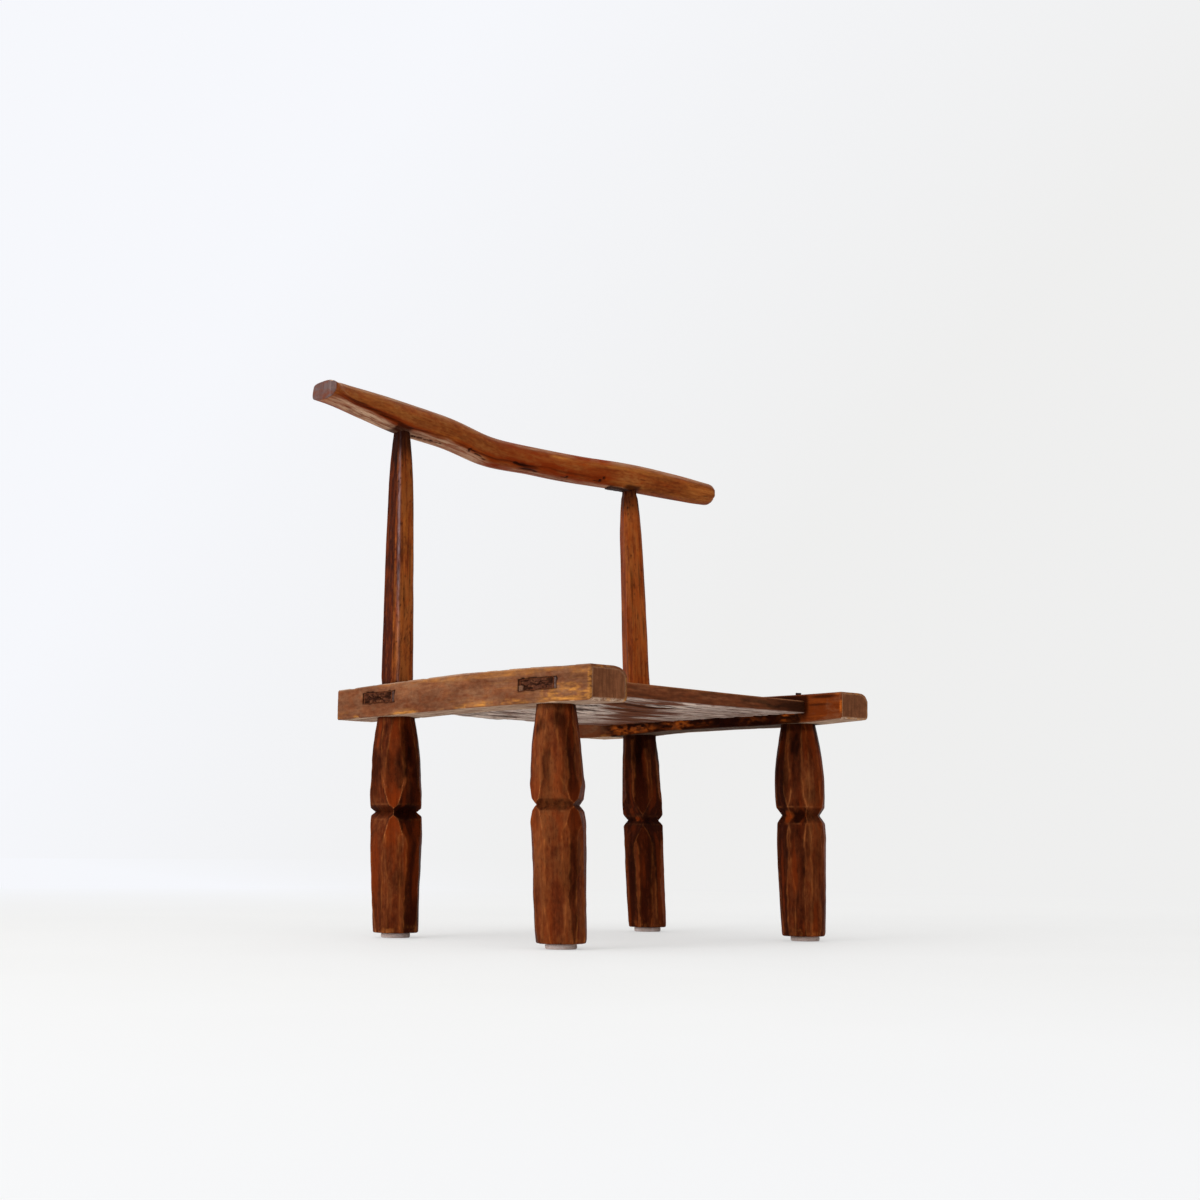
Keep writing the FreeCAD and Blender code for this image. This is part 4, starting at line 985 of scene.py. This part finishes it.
for k, (corner, leg) in enumerate(legs.items()):
    skins = [leg_body(leg, 200 + 31 * k)]
    if corner.startswith("front"):
        skins.append(round_tenon(corner, leg, 340 + k))
    add_piece(corner + "_leg_carved", skins, "leg_wood", [corner + "_leg"], 24)

# %% [markdown]
# The back posts are cut the same way, but squarer: four broad facets with a narrow chamfer on each
# corner, tapering to a neck under the crest. The chamfers are polished by hands, and on the left post a
# highlight down one of them is painted into the colour as a pale line.

# %% Back posts
# The left post's facet that turns away from the window is sooty, by as much as its soot says.
# One of each post's numbers is the strength of a highlight painted as a pale line down one chamfer; the left
# post's is 0.8 and the right post has none.
posts = {
    "left_back_post": dict(
        foot=(-157.22, 124.4), head=(-150.82, 135.4), low=256.2, half=15.2, turn=0.252, neck=0.2,
        painted_highlight=0.8, seed=401, facets=[0.1, -0.62, 0.3, 0.0, 0.0, -0.05, 0.1, -0.1], ruddy=[0.0, 0.2], soot=1),
    "right_back_post": dict(
        foot=(177.88, 126.2), head=(171.48, 137.2), low=249.8, half=14.8, turn=0.2, neck=1.0,
        painted_highlight=0.0, seed=431, facets=[-0.1, 0.0, 0.3, 0.0, 0.0, 0.05, 0.1, -0.1], ruddy=[0.55, 0.3], soot=0),
}
POST_STATIONS = [0.0, 0.4, 0.75, 0.87, 0.94, 1.0]
POST_GIRTH = [1.0, 0.92, 0.82, 0.75, 0.67, 0.6]

# %% Carve the back posts
def post_body(name, post):
    """A post from the rail to the branch: the nearest of four broad planes and four corner planes, whose
    distances follow the taper."""
    high = node_box(name)[1][2] - 11.0
    seed, low = post["seed"], post["low"]
    along, inset, scale = ring_plan(low, high, 1.05, 0.3, 0.3, 2)
    share = held((along - low) / (high - low))
    half = 8.7 + (post["half"] - 8.7) * (through(POST_STATIONS, POST_GIRTH, share) - 0.6) / 0.4
    half = half - post["neck"] * held((along - high + 13) / 5)
    theta = round_angles(180)
    quarter = np.arange(4) * np.pi / 2 + post["turn"] * 2 * np.pi
    directions = np.concatenate([quarter, quarter + np.pi / 4])
    line = np.stack([along, along * 0, along * 0], -1)
    waver = np.stack([0.26 * soft(line, 42.0, seed + k) + 0.07 * soft(line, 11.0, seed + 40 + k)
                      for k in range(8)])
    squareness = 1.2 - 0.1 * fade(share, 0.05) - 0.12 * held((share - 0.8) / 0.2)
    distances = [np.tile(half * 0.9, (4, 1)), np.tile(half * 0.9 * squareness, (4, 1))]
    distances = np.concatenate(distances) + waver
    radius, ridge, plane = knife_cut(theta, directions, distances, 0.12)
    z = np.broadcast_to(along[:, None], radius.shape)
    turned = turned_to(theta, radius, z)
    cuts = scallops(theta, z, seed + 5, 34, low + 10, high - 12, 13.0) * 0.6
    fine = 0.05 * rough(turned, (1.6, 1.6, 30), seed + 6)
    radius = (radius - cuts + fine - inset[:, None]) * scale[:, None]
    share = share[:, None]
    x, y = leaning(post, share, theta, radius)
    broken = rough(turned, (3, 3, 14), seed + 9)
    wear = np.exp(-ridge / 0.3) * 0.35 * held(0.5 + 1.2 * broken)
    golden = held(1.5 * soft(turned, (5, 5, 70), seed + 10) + 0.7 * broken - 0.1)
    wear = wear + 0.6 * golden * (plane != 1) * fade(abs(share - 0.42) - 0.22, 0.2)
    specks = held(soft(turned, (1.3, 1.3, 3.5), seed + 12) - 0.5) * 1.6
    thin = soft(turned, (2.4, 2.4, 50), seed + 25)
    grime = specks * (plane != 1) + 0.75 * fade(high - 14 - z, 26) + 0.4 * fade(z - low - 4, 6)
    grime = grime + 0.3 * post["soot"] * fade(high - 45 - z, 90) + 0.6 * held(2.2 * thin - 0.7)
    sooty = held(0.5 + 2 * soft(turned, (6, 6, 50), seed + 21))
    grime = grime + 0.4 * post["soot"] * (plane == 1) * sooty
    # A highlight is painted in the dry colour as a pale line down the chamfer that faces the front left. It
    # is strongest at the top and swings a little round the post towards the foot.
    lit = directions[5] + 0.24 * (1 - share)
    painted_highlight_line = np.exp(-(abs(np.mod(theta - lit + np.pi, 2 * np.pi) - np.pi) / 0.10) ** 2) * (0.3 + 1.1 * share)
    low_red, high_red = post["ruddy"]
    red = low_red + (high_red - low_red) * share + 0.5 * broken
    tone = 0.5 + np.array(post["facets"])[plane] + 0.22 * rough(turned, (8, 8, 40), seed + 13)
    tone = tone + 0.55 * thin
    grain = np.stack([turned[..., 0] + seed, turned[..., 1] + 90, z], -1)
    return skin(np.stack([x, y, z], -1), grain, wear=wear, grime=grime, tone=tone, stain=red,
                dry=post["painted_highlight"] * painted_highlight_line * held(0.75 + broken))


for name, post in posts.items():
    add_piece(name + "_carved", [post_body(name, post)], "post_wood", [name], 24)

# %% [markdown]
# The crest rail is a crooked branch with the bark taken off. Its egg-shaped section is carried along a
# line that falls and bows back. A crease runs along its front, the worn bevel lies below it, and old
# knots and nicks pit the lower edge. The left end is a plain saw cut and the right end is worn round.

# %% The crest rail
CREST_STATIONS = [0.0, 0.115, 0.225, 0.344, 0.463, 0.582, 0.701, 0.817, 0.921, 1.0]
CREST_RISE = [1.0, 0.978, 0.873, 0.758, 0.488, 0.42, 0.354, 0.302, 0.156, 0.0]
CREST_GIRTH = [0.72, 0.85, 1.0, 0.975, 0.955, 0.915, 0.93, 0.94, 0.87, 0.79]
CREST_OUTLINE = np.array([(0.02, 0.5), (0.32, 0.39), (0.48, 0.13), (0.47, -0.14), (0.33, -0.38),
                          (0.02, -0.5), (-0.3, -0.42), (-0.48, -0.14), (-0.47, 0.16), (-0.3, 0.41)])
# The crease's place round the branch, and its strength, each as pairs with the share of the length.
CREASE = [(0, 0.37), (0.03, 0.378), (0.06, 0.372), (0.10, 0.366), (0.185, 0.39), (0.27, 0.378),
          (0.32, 0.365), (0.40, 0.383), (0.453, 0.383), (0.497, 0.364), (0.534, 0.371), (0.6, 0.354),
          (0.64, 0.36), (0.68, 0.36), (0.75, 0.38)]
CREASE_STRENGTH = [(0, 0.25), (0.03, 0.8), (0.07, 1.0), (0.3, 0.95), (0.42, 0.9), (0.55, 0.85), (0.66, 0.6),
                   (0.74, 0.35), (0.8, 0), (1.0, 0)]
CREST_LENGTH, CREST_START, CREST_TOP, CREST_FALL = 547.0, -274.82, 552, 40.8
CREST_DEPTH, CREST_HEIGHT = 38.0, 34.2
# The branch bows back by BOW at its most, along a parabola.
BOW, BOW_MIDDLE, BOW_REACH, BOW_FRONT = 18, 11.33, 162.15, 135.4
# Nicks and knots: share of the length, turn, their two half sizes and depth.
CREST_NICKS = [
    (0.252, 0.485, 0.006, 0.016, 2.0), (0.268, 0.478, 0.007, 0.014, 2.2), (0.283, 0.476, 0.004, 0.01, 1.6),
    (0.296, 0.47, 0.007, 0.012, 2.0), (0.312, 0.468, 0.004, 0.008, 1.4), (0.322, 0.465, 0.004, 0.008, 1.5),
    (0.392, 0.395, 0.003, 0.028, 1.5), (0.400, 0.385, 0.008, 0.007, 1.2), (0.416, 0.41, 0.009, 0.008, 1.7),
    (0.434, 0.43, 0.005, 0.006, 1.2), (0.55, 0.42, 0.020, 0.016, 1.1), (0.53, 0.375, 0.014, 0.013, 1.3),
    (0.513, 0.36, 0.006, 0.02, 1.3), (0.571, 0.435, 0.006, 0.010, 1.5), (0.651, 0.42, 0.003, 0.018, 1.8),
    (0.645, 0.432, 0.010, 0.005, 1.4), (0.731, 0.39, 0.003, 0.024, 1.5), (0.738, 0.345, 0.003, 0.020, 1.3),
    (0.725, 0.40, 0.010, 0.006, 1.4), (0.831, 0.29, 0.006, 0.010, 0.6), (0.982, 0.33, 0.006, 0.012, 0.5),
    (0.16, 0.80, 0.012, 0.02, 1.0), (0.45, 0.72, 0.012, 0.03, 0.9), (0.86, 0.66, 0.01, 0.02, 1.2)]
CREST_NICKS = [(a, b, c * 1.3, d * 1.2, e) for a, b, c, d, e in CREST_NICKS]


def outline_loop(corners, turn):
    """An outline's corner points as a closed smooth curve, at turn from 0 to 1 round from the top by the
    front: the cubic (2b + (c - a) t + (2a - 5b + 4c - d) t^2 + (3b - a - 3c + d) t^3) / 2 through
    each four neighbours a, b, c, d."""
    count = len(corners)
    k = np.floor(turn * count).astype(int)
    t = (turn * count - k)[:, None]
    a, b, c, d = (corners[(k + n) % count] for n in (-1, 0, 1, 2))
    return (2 * b + (c - a) * t + (2 * a - 5 * b + 4 * c - d) * t ** 2
            + (3 * b - a - 3 * c + d) * t ** 3) / 2


# The sawn left end is squarer than the branch: (forward, up) in millimetres, in the same order.
CREST_SAWN = np.array([(-1.0, 8.9), (8.5, 9.9), (15.8, 7.4), (17.0, 1.0), (13.0, -5.4), (4.0, -8.8),
                       (-7.0, -9.1), (-11.9, -7.2), (-11.9, 0.5), (-9.8, 6.2)])

# %% Shape the branch
def crest_body():
    """At s along the branch and u round it, the point is the middle line's place, plus the section's
    forward and up parts, each scaled outwards by 1 + push / size. The push sums soft lumps, grain, the
    crease, the bevel and the nicks."""
    along, inset, scale = ring_plan(0.0, 551.0, 1.3, 0.8, 8.0, 14)
    share = held(along / CREST_LENGTH)[:, None]
    turn = np.linspace(0, 1, 140, endpoint=False)
    outline, sawn = outline_loop(CREST_OUTLINE, turn), outline_loop(CREST_SAWN, turn)
    x_line = CREST_START + along
    slope = -2 * BOW * (x_line - BOW_MIDDLE) / BOW_REACH ** 2
    length = np.hypot(1, slope)
    centre = np.stack([x_line, BOW_FRONT + BOW * (1 - ((x_line - BOW_MIDDLE) / BOW_REACH) ** 2),
                       CREST_TOP - CREST_FALL * (1 - through(CREST_STATIONS, CREST_RISE, share[:, 0]))], -1)
    forward = np.stack([slope / length, -1 / length, 0 * length], -1)
    girth = through(CREST_STATIONS, CREST_GIRTH, share)
    squared = fade(share, 0.045 + 0.09 * held(-2 * outline[:, 1]))
    depth = CREST_DEPTH * girth * outline[:, 0] * (1 - squared) + sawn[:, 0] * squared
    rise = CREST_HEIGHT * girth * outline[:, 1] * (1 - squared) + sawn[:, 1] * squared
    s, u = np.broadcast_arrays(share, turn[None, :])
    place = np.stack([depth + 30, rise + 30, s * CREST_LENGTH], -1)

    # The crease along the front, and the worn bevel below it.
    off = (u - through(*np.array(CREASE).T, s)) * 108 + 1.0 * soft(place, (9, 9, 18), 501)
    strength = through(*np.array(CREASE_STRENGTH).T, s)
    groove = strength * fade(abs(off) - 0.4, 2.6)
    bevel = fade(2.2 - off, 2.0) * fade(off - 15, 9) * strength * fade(s - 0.40, 0.05)
    under = fade(0.455 - u, 0.03) * fade(u - 0.53, 0.05) * fade(0.42 - s, 0.05) * fade(s - 0.79, 0.02)
    pits = spots(s, u, CREST_NICKS)
    push = 0.50 * soft(place, (20, 20, 50), 503) + 0.16 * rough(place, (6, 6, 30), 504)
    push = push + 0.05 * rough(place, (1.8, 1.8, 26), 505) - groove - 0.9 * pits
    push = push - 0.7 * bevel * fade(abs(off - 8) - 2, 7)
    facets = 0.45 * abs(np.sin(u * np.pi * 9 + 1.5 * soft(place, (400, 400, 90), 506)))
    push = push - facets * held((s - 0.84) / 0.1) - inset[:, None] * 0.95
    cheek = fade((0.962 - s) / 0.004, 9) * fade(abs(u - 0.29) - 0.10, 0.05)
    push = push - 1.5 * cheek * held((s - 0.955) / 0.045)
    push = push - 3.2 * held((s - 0.95) / 0.05) ** 2 * fade(abs(u - 0.46) - 0.05, 0.14)
    size = np.hypot(depth, rise)
    factor = (1 + push / size) * scale[:, None]
    depth = depth * factor + 2.8 * fade(share, 0.01) * (1 - scale[:, None]) * (s < 0.5)
    rise = rise * factor
    points = centre[:, None] + forward[:, None] * depth[..., None] + rise[..., None] * np.array([0, 0, 1.0])
    end = on_end_face(scale, depth) * (s < 0.5)
    cut_face = np.maximum(end, (along < 0.6)[:, None])
    saw = 0.22 * rough(points, (9, 5, 1.8), 507) + 0.3 * soft(points, (12, 12, 12), 508)
    run = np.stack([1 / length, slope / length, 0 * length], -1)
    points = points - run[:, None] * (end * (saw + 0.3))[..., None]

    streaky = rough(place, (4, 4, 46), 509)
    cloudy = rough(place, (11, 11, 34), 513)
    thready = rough(place, (2.4, 2.4, 34), 515)
    dry = (0.9 * bevel + 0.85 * under) * held(0.66 + 0.9 * thready + 0.5 * cloudy)
    # A pale band along the top of the branch is a painted sheen, in the dry colour.
    painted_top_sheen = fade(np.minimum(u, 1 - u) - 0.115, 0.05)
    dry = dry + 0.5 * painted_top_sheen * held(0.8 + streaky)
    halo = strength * fade(abs(off + 1.5) - 1.5, 5.5)
    line = strength * fade(abs(off + 0.3) - 0.4, 1.7)
    red = 0.85 * halo * held(0.85 + 0.8 * streaky) + 0.45 * held(1.6 * cloudy)
    red = red + 0.8 * fade(abs(s - 0.60) - 0.13, 0.06) * held(0.7 + cloudy)
    dark_start = spots(s, u, [(0.07, 0.315, 0.04, 0.018, 1.0), (0.206, 0.42, 0.014, 0.05, 1.0),
                              (0.10, 0.340, 0.10, 0.016, 0.9), (0.17, 0.367, 0.05, 0.018, 1.0),
                              (0.55, 0.38, 0.03, 0.03, 0.8), (0.53, 0.36, 0.012, 0.03, 0.9)])
    grime = 0.7 * line * held(0.5 + 1.8 * streaky) + 0.85 * dark_start + held(pits)
    under_post = fade(abs(s - 0.212) - 0.014, 0.012) + fade(abs(s - 0.812) - 0.012, 0.012)
    grime = grime + 0.95 * under_post * fade(abs(u - 0.48) - 0.08, 0.04)
    wear = spots(s, u, [(0.626, 0.165, 0.03, 0.03, 0.6), (0.97, 0.30, 0.05, 0.2, 0.35),
                        (0.012, 0.15, 0.02, 0.1, 0.5), (0.16, 0.27, 0.12, 0.05, 0.3),
                        (0.9, 0.42, 0.12, 0.05, 0.3)]) * held(0.6 + 0.9 * streaky)
    rubbed = held(1.5 * soft(place, (9, 9, 60), 511) - 0.2)
    wear = wear + 0.45 * rubbed * fade(abs(u - 0.22) - 0.1, 0.1)
    wide_cloud = rough(place, (16, 16, 60), 517)
    grain = np.stack([depth + 700, rise + 120, s * CREST_LENGTH], -1)
    # A small pale spot sits at the top corner next to the sawn end.
    pale_corner = spots(s, u, [(0.0, 0.13, 0.01, 0.035, 0.8)])
    bare = 1 - cut_face
    return skin(points, grain, wear=wear * bare, grime=grime * bare, stain=red * bare, end=cut_face,
                dry=np.where(cut_face > 0, 0.0, dry) + pale_corner * (1 - end),
                tone=0.5 + 0.25 * cloudy + 0.35 * wide_cloud + 0.2 * thready)


add_piece("crest_rail_branch", [crest_body()], "crest_wood", ["crest_rail"])

# %% [markdown]
# Somebody glued round felt pads under the feet later. A pad is a soft disc: the weight of the chair
# presses it flat, and its side bulges and frays a little. Felt scatters light at grazing angles, so its
# material has some sheen.

# %% Felt pads
tree, shader = new_finish("felt")
place = add_node(tree, "TexCoord").outputs["Object"]
fibres = stretched_noise(tree, place, 0.5, 1500, 4, 0.7, 1.2)
matted = stretched_noise(tree, place, 1.0, 210, 3, 0.6, 0.6)
dirt = stretched_noise(tree, place, 1.0, 60, 2, 0.5, 0.3)
tint = mixed(tree, ranged(tree, fibres, 0.35, 0.65), colour(0.50, 0.34, 0.28), colour(0.70, 0.55, 0.50))
tint = mixed(tree, ranged(tree, matted, 0.42, 0.62, 0, 0.4), tint, colour(0.74, 0.68, 0.70))
tint = mixed(tree, ranged(tree, dirt, 0.5, 0.7, 0, 0.45), tint, colour(0.34, 0.24, 0.19))
feed(tree, shader, {"Base Color": tint, "Roughness": 0.95, "Specular IOR Level": 0.1, "Sheen Weight": 0.25,
                    "Sheen Roughness": 0.5, "Normal": bumped(tree, fibres, 0.6, 0.0005)})

# %% Press the pads
def felt_pad(node, seed):
    """A disc whose side follows r = R - b (2t - 1)^4 + fuzz, with t from 0 at the floor to 1 at the
    foot, so that it bulges between two pressed edges."""
    low, high = node_box(node)
    middle, radius = (low + high) / 2, (high[0] - low[0]) / 2
    t = np.concatenate([np.zeros(8), np.linspace(0, 1, 12), np.ones(8)])[:, None]
    cap = np.linspace(0.06, 0.94, 8)
    scale = np.concatenate([cap, np.ones(12), cap[::-1]])[:, None]
    theta = round_angles(120)
    z = low[2] + (high[2] - low[2]) * t + 0 * theta
    rim = radius - 0.1 - 0.85 * (2 * t - 1) ** 4
    place = turned_to(theta, rim, z)
    fuzz = 0.16 * rough(place, 1.5, seed) + 0.12 * soft(place, (6, 6, 2), seed + 4)
    r = (rim + fuzz) * scale
    rings = np.stack([middle[0] + r * np.cos(theta), middle[1] + r * np.sin(theta), z], -1)
    return skin(rings, rings)


for k, corner in enumerate(legs):
    node = corner + "_foot_pad"
    add_piece(node + "_felt", [felt_pad(node, 600 + 9 * k)], "felt", [node])

# %% [markdown]
# The chair stands on a plain pale floor in soft daylight from a large window on its left. The window is
# an area lamp, and the rest of the room is the world's own light, brighter on the window's side. The
# world shows the camera and the mirror rays a near-white wall, and the floor turns into that wall with
# distance, so that the background stays pale with no more light on the wood.

# %% Wall colour
PALE_LEFT, GREY_RIGHT = colour(0.925, 0.937, 0.975), colour(0.862, 0.862, 0.858)


def wall_colour(tree, x, z):
    """The pale wall: cool white towards -X and higher up, plain light grey towards +X. The share is
    x - 0.45 z, from 0.36 to 0.64, for a direction's own x and z."""
    share = maths(tree, "SUBTRACT", x, times(tree, z, 0.45))
    return mixed(tree, ranged(tree, share, 0.36, 0.64), PALE_LEFT, GREY_RIGHT)


def seen_directly(tree):
    """1 for the camera's rays and for mirrored and transmitted ones, 0 for rays that only bring light."""
    path = add_node(tree, "LightPath").outputs
    return maths(tree, "MAXIMUM", path["Is Camera Ray"], path["Is Glossy Ray"], path["Is Transmission Ray"])


print("wall from cool white to light grey")

# %% Floor
FLOOR_HALF, FLOOR_TOP = 9, -0.0003
NEAR, FAR = 0.7, 2.4
corners = [(x * FLOOR_HALF, y * FLOOR_HALF, FLOOR_TOP) for x, y in ((-1, -1), (1, -1), (1, 1), (-1, 1))]
floor_mesh = bpy.data.meshes.new("floor")
floor_mesh.from_pydata(corners, [], [(0, 1, 2, 3)])
floor = add_object("floor", floor_mesh)
tree, shader = new_finish("floor_paint")
place = add_node(tree, "TexCoord").outputs["Object"]
cloud = stretched_noise(tree, place, 1.0, 2.2, 3, 0.5)
tint = mixed(tree, ranged(tree, cloud, 0.4, 0.6), colour(0.90, 0.895, 0.885), colour(0.92, 0.915, 0.905))
feed(tree, shader, {"Base Color": tint, "Roughness": 0.7, "Specular IOR Level": 0.2})
away = add_node(tree, "VectorMath", {0: place}, operation="LENGTH").outputs["Value"]
way = add_node(tree, "VectorMath", {0: place}, operation="NORMALIZE").outputs["Vector"]
way_x = add_node(tree, "SeparateXYZ", {0: way}).outputs["X"]
far_tint = wall_colour(tree, way_x, 0.0)
seen_tint = mixed(tree, ranged(tree, away, NEAR, FAR), colour(0.930, 0.930, 0.926), far_tint)
glow = add_node(tree, "Emission", {"Color": seen_tint, "Strength": 1.0}).outputs[0]
share = times(tree, seen_directly(tree), ranged(tree, away, NEAR, FAR, 0.5, 1.0))
both = add_node(tree, "MixShader", {0: share, 1: shader.outputs[0], 2: glow}).outputs[0]
feed(tree, tree.nodes["Material Output"], {"Surface": both})
floor_mesh.materials.append(finishes["floor_paint"])
print("floor laid")

# %% Daylight
world = bpy.data.worlds.new("studio")
bpy.context.scene.world = world
world.use_nodes = True
sky = world.node_tree
sky.nodes.clear()
direction = add_node(sky, "TexCoord").outputs["Generated"]
axes = add_node(sky, "SeparateXYZ", {0: direction}).outputs
# Room light by direction: bright towards the window at -X, and dim towards +X.
from_left = ranged(sky, axes["X"], -1.0, 1.0, 1.0, 0.0)
from_above = ranged(sky, axes["Z"], 0.0, 1.0, 0.0, 1.0)
room = plus(sky, times(sky, from_left, from_left, 0.85), times(sky, from_above, 0.65), 0.14)
room_tint = mixed(sky, from_left, colour(1.0, 0.98, 0.95), colour(0.96, 0.985, 1.0))
room_light = add_node(sky, "Background", {"Color": room_tint, "Strength": room}).outputs[0]
wall = wall_colour(sky, axes["X"], axes["Z"])
wall_seen = add_node(sky, "Background", {"Color": wall, "Strength": 1.0}).outputs[0]
both = add_node(sky, "MixShader", {0: seen_directly(sky), 1: room_light, 2: wall_seen}).outputs[0]
add_node(sky, "OutputWorld", {"Surface": both})

WINDOW_PLACE, WINDOW_AIM, WINDOW_SIDE = Vector((-3.0, -0.25, 1.05)), Vector((0, 0, 0.25)), 1.5
window = bpy.data.lights.new("window", "AREA")
window.shape, window.size, window.size_y = "RECTANGLE", WINDOW_SIDE, WINDOW_SIDE
window.energy = 38.0
window.color = (0.97, 0.985, 1.0)
window_object = add_object("window", window)
window_object.location = WINDOW_PLACE
window_object.rotation_euler = (WINDOW_AIM - WINDOW_PLACE).to_track_quat("-Z", "Y").to_euler()
print("window lamp", window.energy, "W")

# %% [markdown]
# The camera stands in front and to the left, very low, and looks slightly up, as the photograph's did.
# Its numbers come from fitting the feet, rails and posts to the photograph.

# %% Camera
CAMERA_PLACE, CAMERA_LENS = (-1.3271, -1.6036, 0.0942), 59.68
turn, pitch, roll = np.radians([-39.91, 7.08, -0.586])
ahead = np.array([-np.sin(turn) * np.cos(pitch), np.cos(turn) * np.cos(pitch), np.sin(pitch)])
level_right = np.array([np.cos(turn), np.sin(turn), 0.0])
level_down = np.cross(ahead, level_right)
right = np.cos(roll) * level_right + np.sin(roll) * level_down
down = -np.sin(roll) * level_right + np.cos(roll) * level_down
lens = bpy.data.cameras.new("camera")
lens.sensor_width, lens.lens, lens.clip_start = 36.0, CAMERA_LENS, 0.05
camera = add_object("camera", lens)
axes = Matrix(np.column_stack([right, -down, -ahead]).tolist()).to_4x4()
camera.matrix_world = Matrix.Translation(CAMERA_PLACE) @ axes
bpy.context.scene.camera = camera
bpy.context.scene.view_settings.view_transform = "Standard"
print("camera at", [round(value, 3) for value in camera.location])
